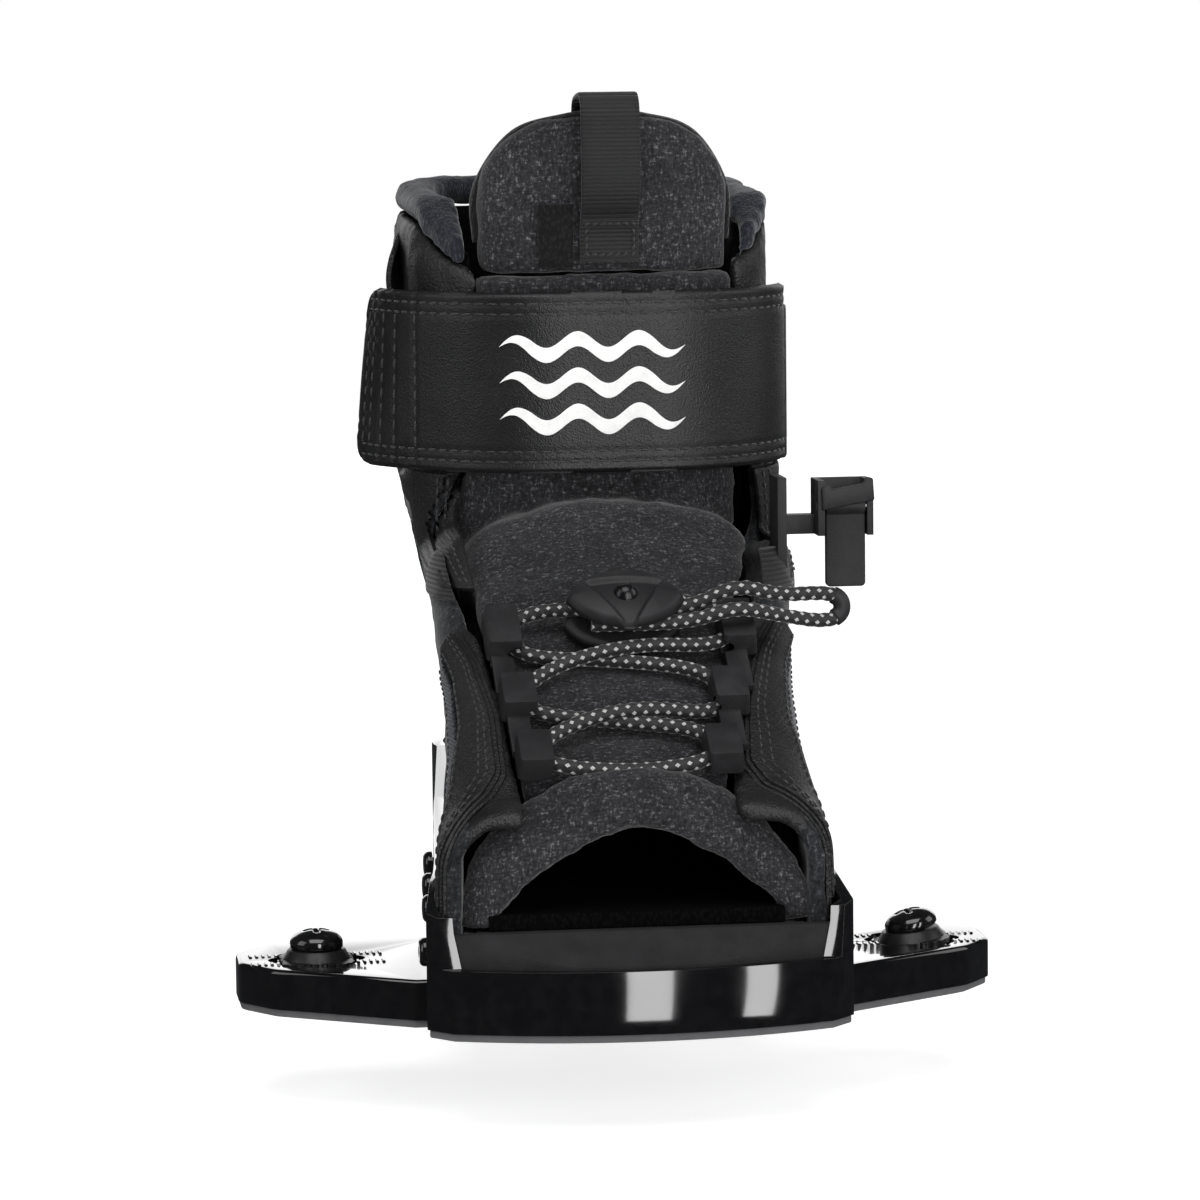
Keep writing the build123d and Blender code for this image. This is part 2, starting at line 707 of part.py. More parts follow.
def make_hook_patch():
    with BuildPart() as patch:
        add(shaft_ring(STRAP_IN - PATCH_T, STRAP_IN, STRAP_Z0 + 5, STRAP_Z1 - 5))
        add(box_between((-90, 70, 0), (-20, STRAP_LEFT_Y - 4, 260)), mode=Mode.INTERSECT)
    save(patch, "hook_patch")


def make_loop_patch():
    with BuildPart() as patch:
        add(shaft_ring(0, PATCH_T, STRAP_Z0 + 3, STRAP_Z1 - 9))
        add(box_between((-90, 74, 0), (-26, 118, 260)), mode=Mode.INTERSECT)
    save(patch, "loop_patch")


def make_strap_anchor():
    with BuildPart() as anchor:
        add(shaft_ring(0, STRAP_IN + STRAP_T, STRAP_Z0, STRAP_Z1 - 6))
        add(box_between((SHAFT_X + 20, STRAP_RIGHT_Y + 0.6, 0), (90, ANCHOR_BACK_Y, 260)), mode=Mode.INTERSECT)
    save(anchor, "strap_anchor")


# ---------------------------------------------------------------- laces, guides and lock
LOCK_Y = 12.0
LOCK_W = 30.5
LOCK_H = 21.0
LOCK_FLOOR = 3.6               # the lace channel lies between these two heights above the lock's base
LOCK_ROOF = 9.2
BUTTON_R = 3.4
BUTTON_TRAVEL = 2.0


def slope_plane(dx, y, lift):
    """A plane lying on the instep, its X across the boot and its Y up the slope."""
    ahead, behind = on_skin(dx, y - 4, 0), on_skin(dx, y + 4, 0)
    up = Vector(0, behind[1] - ahead[1], behind[2] - ahead[2]).normalized()
    normal = Vector(1, 0, 0).cross(up)
    here = Vector(*on_skin(dx, y, 0)) + normal * lift
    return Plane(origin=here, x_dir=(1, 0, 0), z_dir=normal)


LOCK_BASE = slope_plane(0.8, LOCK_Y, 0.6)


def lock_point(u, v):
    """A point in the middle of the lock's lace channel."""
    here = LOCK_BASE.from_local_coords(Vector(u, v, (LOCK_FLOOR + LOCK_ROOF) / 2))
    return (here.X, here.Y, here.Z)


HOOKS = {                      # each guide block: distance from the centre line, rear and front end
    "left": [(28.6, 20.0, 4.0), (25.8, -4.0, -15.5), (22.8, -24.0, -35.0)],
    "right": [(28.2, 20.0, 4.0), (24.5, -4.0, -15.5), (21.0, -24.0, -35.0)],
}
HOOK_LIFT = 4.6
UNDER = 2.2
OVER = 6.3


def hook_points(name, k, downhill):
    """Lace points at the two ends of a guide block."""
    side = SIDE[name]
    x, back, front = HOOKS[name][k]
    rear = on_skin(side * (x - 1.2), back, HOOK_LIFT + 0.3)
    fore = on_skin(side * (x + 1.0), front, HOOK_LIFT)
    return [rear, fore] if downhill else [fore, rear]


def lace_route():
    """One lace from the lock down through the guides and back up to the lock."""
    return [
        lock_point(-8.0, 0.5),
        *hook_points("left", 0, True), on_skin(0.0, 0.5, UNDER),
        *hook_points("right", 1, True), on_skin(0.0, -19.5, OVER),
        *hook_points("left", 2, True), on_skin(0.5, -37.0, UNDER + 0.8),
        *hook_points("right", 2, False), on_skin(0.0, -19.5, UNDER),
        *hook_points("left", 1, False), on_skin(0.0, 0.5, OVER),
        *hook_points("right", 0, False), lock_point(8.5, 4.4),
    ]


def corner_radii(points, biggest):
    """The largest arc that each corner of a route has room for, up to a limit."""
    radii = []
    for a, b, c in zip(points, points[1:], points[2:]):
        u, v = Vector(*b) - Vector(*a), Vector(*c) - Vector(*b)
        turn = radians(u.get_angle(v))
        room = 0.45 * min(u.length, v.length) / tan(turn / 2)
        radii.append(min(room, biggest))
    return radii


def tube(points, radii, radius):
    with BuildPart() as cord:
        with BuildLine() as line:
            FilletPolyline(*points, radius=radii)
        with BuildSketch(Plane(origin=line.line @ 0, z_dir=line.line % 0)):
            Circle(radius)
        sweep(path=line.line)
    return cord, line.line.wires()[0].length


def lace_radii(route):
    """Tight arcs in the guide blocks and wide ones where two strands cross."""
    tight, wide = corner_radii(route, HOOK_R), corner_radii(route, 60.0)
    return [wide[k] if k % 3 == 2 else tight[k] for k in range(len(tight))]


def lace_channel():
    """The space that the laced run needs through the guides and the lock."""
    route = lace_route()
    return tube(route, lace_radii(route), LACE_R + 0.1)[0].part


def make_laces():
    route = lace_route()
    radii = lace_radii(route)
    laces, length = tube(route, radii, LACE_R)
    print("laced length", round(length, 1), "radii", [round(r, 1) for r in radii])
    print("volume over section x length", round(laces.part.volume / (pi * LACE_R ** 2 * length), 4))
    save(laces, "laces")


TAIL_FREE = [                  # the loop of spare lace to the right of the lock
    (32.5, 6.5, 103.6),
    (43.5, 8.5, 100.2),
    (56.5, 11.6, 100.4),
    (60.7, 12.0, 98.6),
    (60.7, 11.6, 94.6),
    (56.0, 10.6, 92.8),
    (43.5, 6.5, 95.4),
    (32.0, 2.0, 98.4),
]


def tail_route():
    return [
        lock_point(8.0, 0.0), lock_point(17.5, 0.4), *TAIL_FREE,
        lock_point(17.0, -5.0), lock_point(3.0, -5.6),
        lock_point(-9.0, -5.3),
    ]


def make_lace_tail():
    route = tail_route()
    radii = corner_radii(route, 60.0)
    tail, length = tube(route, radii, LACE_R)
    print("lace tail length", round(length, 1), "radii", [round(r, 1) for r in radii])
    print("volume over section x length", round(tail.part.volume / (pi * LACE_R ** 2 * length), 4))
    save(tail, "lace_tail")


def make_lace_guide(name):
    """Moulded strip with three lace blocks, sewn to the facing, with the lace's channel through them."""
    side = SIDE[name]
    with BuildPart() as guide:
        for x, back, front in HOOKS[name]:
            middle = (back + front) / 2
            plane = slope_plane(side * (x + 1.5), middle, 2.1)
            with BuildSketch(plane):
                RectangleRounded(BLOCK_W, BLOCK_L * (1.25 if back > 10 else 1.0), 1.5)
            extrude(amount=BLOCK_H - 1.0, taper=6)
        for (x0, _, front), (x1, back, _) in zip(HOOKS[name], HOOKS[name][1:]):
            middle = (front + back) / 2
            plane = slope_plane(side * ((x0 + x1) / 2 + 3.0), middle, 2.1)
            with BuildSketch(plane):
                Rectangle(5.5, front - back + 8)
            extrude(amount=1.8)
        add(lace_channel(), mode=Mode.SUBTRACT)
    save(guide, f"lace_guide_{name}")


def oval(width, height):
    """Plan of the lock: a pointed oval made of two arcs."""
    with BuildLine() as edge:
        ThreePointArc((-width / 2, 0), (0, -height / 2), (width / 2, 0))
        ThreePointArc((width / 2, 0), (0, height / 2), (-width / 2, 0))
    return edge.line


def make_lock():
    """Two-shell lace lock with a sprung button."""
    base = LOCK_BASE
    with BuildPart() as lower:
        with BuildSketch(base):
            add(oval(LOCK_W, LOCK_H))
            make_face()
        extrude(amount=LOCK_FLOOR)
        add(lace_channel(), mode=Mode.SUBTRACT)
    save(lower, "lock_lower_shell")
    with BuildPart() as upper:
        with BuildSketch(base.offset(LOCK_ROOF)):
            add(oval(LOCK_W, LOCK_H))
            make_face()
        extrude(amount=4.6, taper=12)
        with BuildSketch(base.offset(LOCK_FLOOR)):
            with Locations((0, 8.6), (0, -8.6)):
                Rectangle(4, 1.6)
        extrude(amount=LOCK_ROOF - LOCK_FLOOR + 0.5)
        with BuildSketch(base.offset(LOCK_ROOF - 0.5)):
            Circle(BUTTON_R + 0.06)
        extrude(amount=8, mode=Mode.SUBTRACT)
        add(lace_channel(), mode=Mode.SUBTRACT)
    save(upper, "lock_upper_shell")
    with BuildPart() as button:
        with BuildSketch(base.offset(LOCK_ROOF - 1.0)):
            Circle(BUTTON_R)
        extrude(amount=6.6)
        crown = button.faces().sort_by(Axis((0, 0, 0), tuple(base.z_dir)))[-1]
        fillet(crown.edges(), 2.2)
    save(button, "lock_button")
    with BuildPart() as spring:
        with BuildSketch(base.offset(LOCK_FLOOR + 0.1)):
            Circle(2.6)
            Circle(1.9, mode=Mode.SUBTRACT)
        extrude(amount=LOCK_ROOF - 1.1 - LOCK_FLOOR - 0.1 - BUTTON_TRAVEL)
    save(spring, "lock_spring")
    print("lock normal", [round(v, 4) for v in base.z_dir], "at", [round(v, 2) for v in base.origin])


# ---------------------------------------------------------------- side clip
CLIP_Y = 40.0
CLIP_X0 = 61.6
CLIP_X1 = 72.0
CLIP_Z0 = 98.5
CLIP_Z1 = 122.4
CLIP_PIN_Z = 119.6
CLIP_PIN_R = 1.2
GATE_T = 2.2


CLIP_STAND = 1.9               # the bracket sits on the gusset


def make_clip():
    """Keeper for the spare lace: a bracket on the cuff and a gate that swings on a pin."""
    y0, y1 = CLIP_Y, CLIP_Y + 10.5
    inner = centre_x(46, 110) + foot_at(46)[0] + CLIP_STAND
    with BuildPart() as bracket:
        add(box_between((inner, y0 + 3.0, 100), (inner + 2.4, y1 + 6, 127)))
        add(box_between((inner, y0 + 5.2, 112), (CLIP_X0 - 0.4, y1, 117)))
        add(box_between((CLIP_X0 - 2.2, y0 - 1.2, 112), (CLIP_X0 - 0.4, y1, 126.4)))
        add(box_between((CLIP_X1 + 0.4, y0 - 1.2, 112), (CLIP_X1 + 2.0, y1, 126.4)))
        add(box_between((CLIP_X0 - 2.2, y1 - 2.0, 112), (CLIP_X1 + 2.0, y1, 126.4)))
        plane = Plane(origin=(CLIP_X0 - 5, y0 + 1.0, CLIP_PIN_Z), x_dir=(0, 1, 0), z_dir=(1, 0, 0))
        with BuildSketch(plane):
            Circle(CLIP_PIN_R + 0.03)
        extrude(amount=25, mode=Mode.SUBTRACT)
    save(bracket, "clip_bracket")
    with BuildPart() as gate:
        add(box_between((CLIP_X0, y0 - 0.1, CLIP_Z0), (CLIP_X1, y0 + GATE_T, CLIP_Z1)))
        plane = Plane(origin=(CLIP_X0 - 1, y0 + 1.0, CLIP_PIN_Z), x_dir=(0, 1, 0), z_dir=(1, 0, 0))
        with BuildSketch(plane.offset(1)):
            Circle(2.3)
        extrude(amount=CLIP_X1 - CLIP_X0)
        with BuildSketch(plane):
            Circle(CLIP_PIN_R + 0.03)
        extrude(amount=25, mode=Mode.SUBTRACT)
        fillet(gate.edges().filter_by(Axis.Y).group_by(Axis.Z)[0], 1.2)
    save(gate, "clip_gate")
    with BuildPart() as pin:
        start = (CLIP_X0 - 2.2, y0 + 1.0, CLIP_PIN_Z)
        with BuildSketch(Plane(origin=start, x_dir=(0, 1, 0), z_dir=(1, 0, 0))):
            Circle(CLIP_PIN_R)
        extrude(amount=CLIP_X1 - CLIP_X0 + 4.2)
    save(pin, "clip_pin")
    with BuildPart() as rivets:
        for z in (104.0, 123.0):
            plane = Plane(origin=(inner + 2.4, y1 + 2.2, z), x_dir=(0, 1, 0), z_dir=(1, 0, 0))
            with BuildSketch(plane):
                Circle(2.2)
            extrude(amount=1.2)
    save(rivets, "clip_rivets")


make_gasket()
make_chassis()
make_footbed()
make_insole()
for hand in SIDE:
    make_clamp_bar(hand)
    make_rail_screws(hand)
    make_washer(hand)
    make_screw(hand)
    make_quarter(hand)
    make_collar(hand)
    make_overlay(hand)
    make_gusset(hand)
    make_cuff_flap(hand)
    make_lace_guide(hand)
make_heel_panel()
make_liner()
make_toe_roll()
make_tongue_lower()
make_tongue_upper()
make_pull_loop()
make_tongue_label()
make_strap()
make_hook_patch()
make_loop_patch()
make_strap_anchor()
make_laces()
make_lace_tail()
make_lock()
make_clip()
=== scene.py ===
import math
import bpy
import bmesh
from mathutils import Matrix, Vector, noise
from mathutils.bvhtree import BVHTree
from mathutils.kdtree import KDTree
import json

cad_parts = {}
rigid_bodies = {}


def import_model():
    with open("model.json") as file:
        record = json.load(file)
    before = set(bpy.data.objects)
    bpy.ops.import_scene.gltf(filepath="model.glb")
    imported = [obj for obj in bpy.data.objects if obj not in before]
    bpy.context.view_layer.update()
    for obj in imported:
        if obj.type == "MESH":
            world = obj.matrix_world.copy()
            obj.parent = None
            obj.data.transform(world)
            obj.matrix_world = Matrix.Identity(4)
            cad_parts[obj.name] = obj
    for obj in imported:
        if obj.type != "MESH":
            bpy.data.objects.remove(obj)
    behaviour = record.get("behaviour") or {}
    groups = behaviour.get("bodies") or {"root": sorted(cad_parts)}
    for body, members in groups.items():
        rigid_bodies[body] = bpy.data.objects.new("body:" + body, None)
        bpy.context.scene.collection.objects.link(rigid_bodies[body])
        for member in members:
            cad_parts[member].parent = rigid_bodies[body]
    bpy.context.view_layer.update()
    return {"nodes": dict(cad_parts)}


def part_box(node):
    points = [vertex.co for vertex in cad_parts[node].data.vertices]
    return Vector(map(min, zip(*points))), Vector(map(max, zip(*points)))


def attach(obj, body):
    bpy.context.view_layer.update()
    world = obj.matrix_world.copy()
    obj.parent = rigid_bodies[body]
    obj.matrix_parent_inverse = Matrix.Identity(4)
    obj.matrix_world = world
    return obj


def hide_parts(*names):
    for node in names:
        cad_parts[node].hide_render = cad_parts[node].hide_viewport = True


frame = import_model()

# An open-toe boot binding. Metres, +Z up, toes to -Y. Sizes below are in millimetres times MM.
MM = 0.001
SIDE = {"left": -1, "right": 1}
nodes = frame["nodes"]


# ---------------------------------------------------------------- camera, lights and floor
LOOK_AT = Vector((0, 0, 0.1))
CAMERA_DISTANCE = 1.3
CAMERA_AZIMUTH = math.radians(-7.5)
CAMERA_ELEVATION = math.radians(6.5)
CAMERA_ROLL = math.radians(0.63)
FLOOR_Z = -0.024


def place_camera():
    data = bpy.data.cameras.new("camera")
    camera = bpy.data.objects.new("camera", data)
    bpy.context.scene.collection.objects.link(camera)
    flat = math.cos(CAMERA_ELEVATION)
    back = Vector((
        math.sin(CAMERA_AZIMUTH) * flat, -math.cos(CAMERA_AZIMUTH) * flat, math.sin(CAMERA_ELEVATION)
    ))
    camera.location = LOOK_AT + back * CAMERA_DISTANCE
    turn = (-back).to_track_quat("-Z", "Y").to_matrix().to_4x4()
    roll = turn.Rotation(-CAMERA_ROLL, 4, "Z")
    camera.rotation_euler = (turn @ roll).to_euler()
    data.sensor_width = 36
    data.lens = 154.8
    data.shift_x = -0.0105
    data.shift_y = 0.0035
    data.clip_start = 0.05
    bpy.context.scene.camera = camera


def soft_box(name, azimuth, elevation, distance, width, height, power, aim=LOOK_AT):
    """A rectangular studio lamp that faces the object."""
    data = bpy.data.lights.new(name, "AREA")
    data.shape = "RECTANGLE"
    data.size, data.size_y = width, height
    data.energy = power
    lamp = bpy.data.objects.new(name, data)
    bpy.context.scene.collection.objects.link(lamp)
    a, e = math.radians(azimuth), math.radians(elevation)
    out = Vector((math.sin(a) * math.cos(e), -math.cos(a) * math.cos(e), math.sin(e)))
    lamp.location = aim + out * distance
    lamp.rotation_euler = (-out).to_track_quat("-Z", "Y").to_euler()
    lamp.visible_camera = False
    return lamp


def light_studio():
    soft_box("front_strip", 7.5, 2, 1.7, 0.32, 1.5, 12)
    soft_box("right_strip", 34, 2, 1.7, 0.22, 1.5, 8)
    soft_box("overhead", -10, 62, 1.5, 1.3, 1.0, 12)
    soft_box("left_side", -78, 22, 1.6, 0.9, 1.2, 5)
    soft_box("right_side", 88, 22, 1.6, 0.9, 1.2, 5)
    soft_box("back_card", 172, 12, 2.2, 2.6, 1.0, 14)
    bpy.context.scene.view_settings.view_transform = "Standard"
    world = bpy.data.worlds.new("studio")
    bpy.context.scene.world = world
    world.use_nodes = True
    tree = world.node_tree
    tree.nodes.clear()
    out = tree.nodes.new("ShaderNodeOutputWorld")
    mix = tree.nodes.new("ShaderNodeMixShader")
    path = tree.nodes.new("ShaderNodeLightPath")
    room = tree.nodes.new("ShaderNodeBackground")
    room.inputs["Color"].default_value = (0.5, 0.52, 0.55, 1)
    room.inputs["Strength"].default_value = 0.07
    white = tree.nodes.new("ShaderNodeBackground")
    white.inputs["Color"].default_value = (1, 1, 1, 1)
    white.inputs["Strength"].default_value = 1.0
    tree.links.new(path.outputs["Is Camera Ray"], mix.inputs[0])
    tree.links.new(room.outputs[0], mix.inputs[1])
    tree.links.new(white.outputs[0], mix.inputs[2])
    tree.links.new(mix.outputs[0], out.inputs["Surface"])


# ---------------------------------------------------------------- materials
class Finish:
    """A new material and short ways to add nodes to it."""

    def __init__(self, name, colour=(0.02, 0.02, 0.02), rough=0.5, metal=0.0, coat=0.0, sheen=0.0,
                 specular=0.5):
        self.made = bpy.data.materials.new(name)
        self.made.use_nodes = True
        self.tree = self.made.node_tree
        self.shader = self.tree.nodes["Principled BSDF"]
        self.set("Base Color", (*colour, 1))
        self.set("Roughness", rough)
        self.set("Metallic", metal)
        self.set("Coat Weight", coat)
        self.set("Coat Roughness", 0.05)
        self.set("Sheen Weight", sheen)
        self.set("Sheen Roughness", 0.4)
        self.set("Specular IOR Level", specular)
        self.place = self.add("ShaderNodeTexCoord").outputs["Object"]

    def set(self, socket, value):
        self.shader.inputs[socket].default_value = value

    def add(self, kind, **settings):
        node = self.tree.nodes.new(kind)
        for key, value in settings.items():
            setattr(node, key, value)
        return node

    def link(self, a, b):
        self.tree.links.new(a, b)

    def stretched(self, scale, turn=(0, 0, 0)):
        node = self.add("ShaderNodeMapping")
        node.inputs["Scale"].default_value = scale
        node.inputs["Rotation"].default_value = turn
        self.link(self.place, node.inputs["Vector"])
        return node.outputs[0]

    def noise(self, scale, detail=2.0, rough=0.5, place=None):
        node = self.add("ShaderNodeTexNoise")
        node.inputs["Scale"].default_value = scale
        node.inputs["Detail"].default_value = detail
        node.inputs["Roughness"].default_value = rough
        self.link(place or self.place, node.inputs["Vector"])
        return node.outputs["Fac"]

    def cells(self, scale, feature="F1", place=None):
        node = self.add("ShaderNodeTexVoronoi", feature=feature)
        node.inputs["Scale"].default_value = scale
        self.link(place or self.place, node.inputs["Vector"])
        return node.outputs["Distance"]

    def waves(self, scale, direction="X", distortion=0.0, place=None):
        node = self.add("ShaderNodeTexWave", bands_direction=direction)
        node.inputs["Scale"].default_value = scale
        node.inputs["Distortion"].default_value = distortion
        self.link(place or self.place, node.inputs["Vector"])
        return node.outputs["Fac"]

    def maths(self, operation, a, b=0.0, c=0.0):
        node = self.add("ShaderNodeMath", operation=operation)
        for socket, value in zip(node.inputs, (a, b, c)):
            if isinstance(value, (int, float)):
                socket.default_value = value
            else:
                self.link(value, socket)
        return node.outputs[0]

    def ramp(self, value, *stops):
        node = self.add("ShaderNodeValToRGB")
        band = node.color_ramp
        while len(band.elements) < len(stops):
            band.elements.new(0.5)
        for element, (at, colour) in zip(band.elements, stops):
            element.position = at
            element.color = (*colour, 1) if len(colour) == 3 else colour
        self.link(value, node.inputs[0])
        return node.outputs["Color"]

    def blend(self, amount, low, high, mode="MIX"):
        node = self.add("ShaderNodeMix", data_type="RGBA", blend_type=mode)
        for socket, value in ((node.inputs[0], amount), (node.inputs[6], low), (node.inputs[7], high)):
            if isinstance(value, (int, float)):
                socket.default_value = value
            elif isinstance(value, tuple):
                socket.default_value = (*value, 1)
            else:
                self.link(value, socket)
        return node.outputs[2]

    def colour(self, value):
        self.link(value, self.shader.inputs["Base Color"])

    def roughness(self, value, low, high):
        node = self.add("ShaderNodeMapRange")
        node.inputs["To Min"].default_value = low
        node.inputs["To Max"].default_value = high
        self.link(value, node.inputs["Value"])
        self.link(node.outputs[0], self.shader.inputs["Roughness"])

    def relief(self, height, depth, strength=1.0):
        """Bump of the given depth in metres; several calls stack up."""
        node = self.add("ShaderNodeBump")
        node.inputs["Distance"].default_value = depth
        node.inputs["Strength"].default_value = strength
        self.link(height, node.inputs["Height"])
        normal = self.shader.inputs["Normal"]
        if normal.links:
            self.link(normal.links[0].from_socket, node.inputs["Normal"])
        self.link(node.outputs[0], normal)


def heather(name, dark, light, fleck, grain=1500):
    """Melange jersey over foam: dark ground with short pale fibres lying in two directions."""
    f = Finish(name, rough=0.92, sheen=0.25, specular=0.2)
    along = f.noise(grain, 3, 0.7, f.stretched((1, 1, 0.35), (0, 0.5, 0)))
    across = f.noise(grain, 3, 0.7, f.stretched((0.35, 1, 1), (0, 0.4, 0)))
    mixed = f.maths("MULTIPLY", along, across)
    ground = f.ramp(mixed, (0.14, dark), (0.30, light), (0.42, fleck))
    patches = f.ramp(f.noise(70, 3), (0.35, (0.8, 0.8, 0.8)), (0.7, (1.1, 1.1, 1.12)))
    f.colour(f.blend(1.0, ground, patches, "MULTIPLY"))
    f.relief(mixed, 0.00035, 0.7)
    f.relief(f.noise(260, 3), 0.0004, 0.35)
    return f.made


def leather(name, colour, rough, pebble, depth):
    """Coated leather: pebble grain, fine creases and slightly polished high spots."""
    f = Finish(name, colour, rough, specular=0.55)
    grain = f.cells(pebble)
    crease = f.cells(pebble * 0.32, "DISTANCE_TO_EDGE", f.stretched((1, 1.4, 0.8)))
    patches = f.noise(45, 4)
    worn = tuple(1.9 * c + 0.004 for c in colour)
    f.colour(f.blend(f.ramp(patches, (0.42, (0, 0, 0)), (0.75, (0.6, 0.6, 0.6))), colour, worn))
    f.roughness(f.maths("ADD", f.maths("MULTIPLY", grain, 0.6), f.maths("MULTIPLY", patches, 0.5)),
                rough - 0.08, rough + 0.12)
    f.relief(grain, depth, 0.8)
    f.relief(f.ramp(crease, (0.0, (0, 0, 0)), (0.12, (1, 1, 1))), depth * 0.8, 0.35)
    return f.made


def webbing(name, colour, rib, direction="Z"):
    """Woven nylon: cross ribs with fine yarns along them."""
    f = Finish(name, colour, 0.62, sheen=0.3, specular=0.4)
    ribs = f.waves(math.pi / (10 * rib), direction, 0.4)
    yarn = f.noise(2600, 2, 0.6, f.stretched((0.3, 1, 1)))
    pale = tuple(2.6 * c + 0.006 for c in colour)
    f.colour(f.blend(f.maths("MULTIPLY", ribs, yarn), colour, pale))
    f.relief(ribs, 0.00025, 0.8)
    f.relief(yarn, 0.00012, 0.6)
    return f.made


def knit(name, colour, pale, sheen=0.35, specular=0.25):
    """Fine rib knit of the padded rim."""
    f = Finish(name, colour, 0.85, sheen=sheen, specular=specular)
    loops = f.cells(1300, place=f.stretched((1, 1, 0.55)))
    yarn = f.noise(900, 3)
    f.colour(f.blend(f.ramp(loops, (0.1, (1, 1, 1)), (0.6, (0, 0, 0))), colour, pale))
    f.relief(loops, -0.0003, 0.7)
    f.relief(yarn, 0.0003, 0.4)
    return f.made


def gloss_plastic():
    """Injection-moulded gloss black with faint sinks and handling haze."""
    f = Finish("gloss_black_plastic", (0.0035, 0.0035, 0.004), 0.06, coat=0.6)
    haze = f.noise(60, 4, 0.6)
    f.roughness(haze, 0.03, 0.13)
    f.colour(f.ramp(f.noise(300, 3), (0.4, (0.003, 0.003, 0.0035)), (0.7, (0.0055, 0.0055, 0.006))))
    f.relief(f.noise(28, 2), 0.0012, 0.10)
    return f.made


def matte_plastic(name, colour, rough=0.5):
    """Glass-filled nylon with a spark-eroded mould texture."""
    f = Finish(name, colour, rough, specular=0.45)
    speck = f.noise(2200, 3, 0.7)
    wear = f.noise(160, 4)
    pale = tuple(1.8 * c + 0.006 for c in colour)
    f.colour(f.blend(f.ramp(wear, (0.5, (0, 0, 0)), (0.8, (0.7, 0.7, 0.7))), colour, pale))
    f.roughness(wear, rough - 0.08, rough + 0.12)
    f.relief(speck, 0.00012, 0.5)
    return f.made


def foam(name, colour):
    """Closed-cell foam with tiny open pores on its cut face."""
    f = Finish(name, colour, 0.88, specular=0.25)
    pores = f.cells(1700)
    cloud = f.noise(120, 4)
    pale = tuple(1.7 * c for c in colour)
    f.colour(f.blend(f.ramp(cloud, (0.3, (0, 0, 0)), (0.8, (1, 1, 1))), colour, pale))
    f.relief(pores, -0.0002, 0.5)
    f.relief(cloud, 0.0006, 0.2)
    return f.made


def rubber(name, colour):
    f = Finish(name, colour, 0.7, specular=0.35)
    cloud = f.noise(300, 4)
    pale = tuple(1.5 * c for c in colour)
    f.colour(f.blend(cloud, colour, pale))
    f.roughness(cloud, 0.6, 0.85)
    f.relief(f.noise(1500, 2), 0.00012, 0.5)
    return f.made


def metal(name, colour, rough, metallic=1.0, coat=0.0):
    f = Finish(name, colour, rough, metallic, coat)
    brushed = f.noise(900, 3, 0.6, f.stretched((1, 1, 0.1)))
    pale = tuple(min(1.0, 1.35 * c + 0.004) for c in colour)
    f.colour(f.blend(brushed, colour, pale))
    f.roughness(brushed, rough * 0.75, rough * 1.4)
    f.relief(brushed, 0.00004, 0.5)
    return f.made


def thread(name, colour):
    f = Finish(name, colour, 0.55, sheen=0.3)
    twist = f.waves(900, "DIAGONAL")
    f.colour(f.blend(twist, colour, tuple(2.0 * c for c in colour)))
    f.relief(twist, 0.0001, 0.6)
    return f.made


def braided_lace():
    """Black round braid with pale flecks in offset rows; its UV map is in metres along, and turns round."""
    f = Finish("braided_lace", (0.012, 0.012, 0.012), 0.6, sheen=0.3)
    uv = f.add("ShaderNodeUVMap", uv_map="braid").outputs[0]
    split = f.add("ShaderNodeSeparateXYZ")
    f.link(uv, split.inputs[0])
    along = f.maths("DIVIDE", split.outputs[0], FLECK_PITCH)
    around = f.maths("MULTIPLY", split.outputs[1], FLECK_ROWS)
    row = f.maths("FLOOR", around)
    phase = f.maths("FRACT", f.maths("ADD", along, f.maths("MULTIPLY", row, 0.5)))
    across = f.maths("ABSOLUTE", f.maths("SUBTRACT", f.maths("FRACT", around), 0.5))
    reach = f.maths("ABSOLUTE", f.maths("SUBTRACT", phase, 0.5))
    body = f.maths("ADD", f.maths("MULTIPLY", across, 1.0), f.maths("MULTIPLY", reach, 1.35))
    fleck = f.maths("LESS_THAN", body, 0.31)
    yarn = f.noise(3500, 2)
    pale = f.ramp(yarn, (0.3, (0.30, 0.30, 0.29)), (0.7, (0.62, 0.62, 0.60)))
    dark = f.ramp(yarn, (0.3, (0.008, 0.008, 0.009)), (0.8, (0.03, 0.03, 0.032)))
    f.colour(f.blend(fleck, dark, pale))
    f.relief(yarn, 0.0001, 0.5)
    return f.made


FLECK_PITCH = 0.0030
FLECK_ROWS = 6


# ---------------------------------------------------------------- shared ways of making pieces
def new_piece(name, points, faces, finish, smooth=True):
    mesh = bpy.data.meshes.new(name)
    mesh.from_pydata([tuple(p) for p in points], [], faces)
    mesh.validate()
    piece = bpy.data.objects.new(name, mesh)
    bpy.context.scene.collection.objects.link(piece)
    if finish:
        mesh.materials.append(finish)
    for face in mesh.polygons:
        face.use_smooth = smooth
    return piece


def settle(piece):
    """Apply every modifier of a piece, so that what is left is a plain mesh."""
    view = bpy.context.evaluated_depsgraph_get()
    view.update()
    mesh = bpy.data.meshes.new_from_object(piece.evaluated_get(view))
    piece.modifiers.clear()
    old, piece.data = piece.data, mesh
    bpy.data.meshes.remove(old)
    return piece


def outward(piece):
    """Make the faces of a closed mesh point outwards."""
    bm = bmesh.new()
    bm.from_mesh(piece.data)
    bmesh.ops.remove_doubles(bm, verts=bm.verts, dist=1e-6)
    bmesh.ops.recalc_face_normals(bm, faces=bm.faces)
    bm.to_mesh(piece.data)
    bm.free()
    return piece


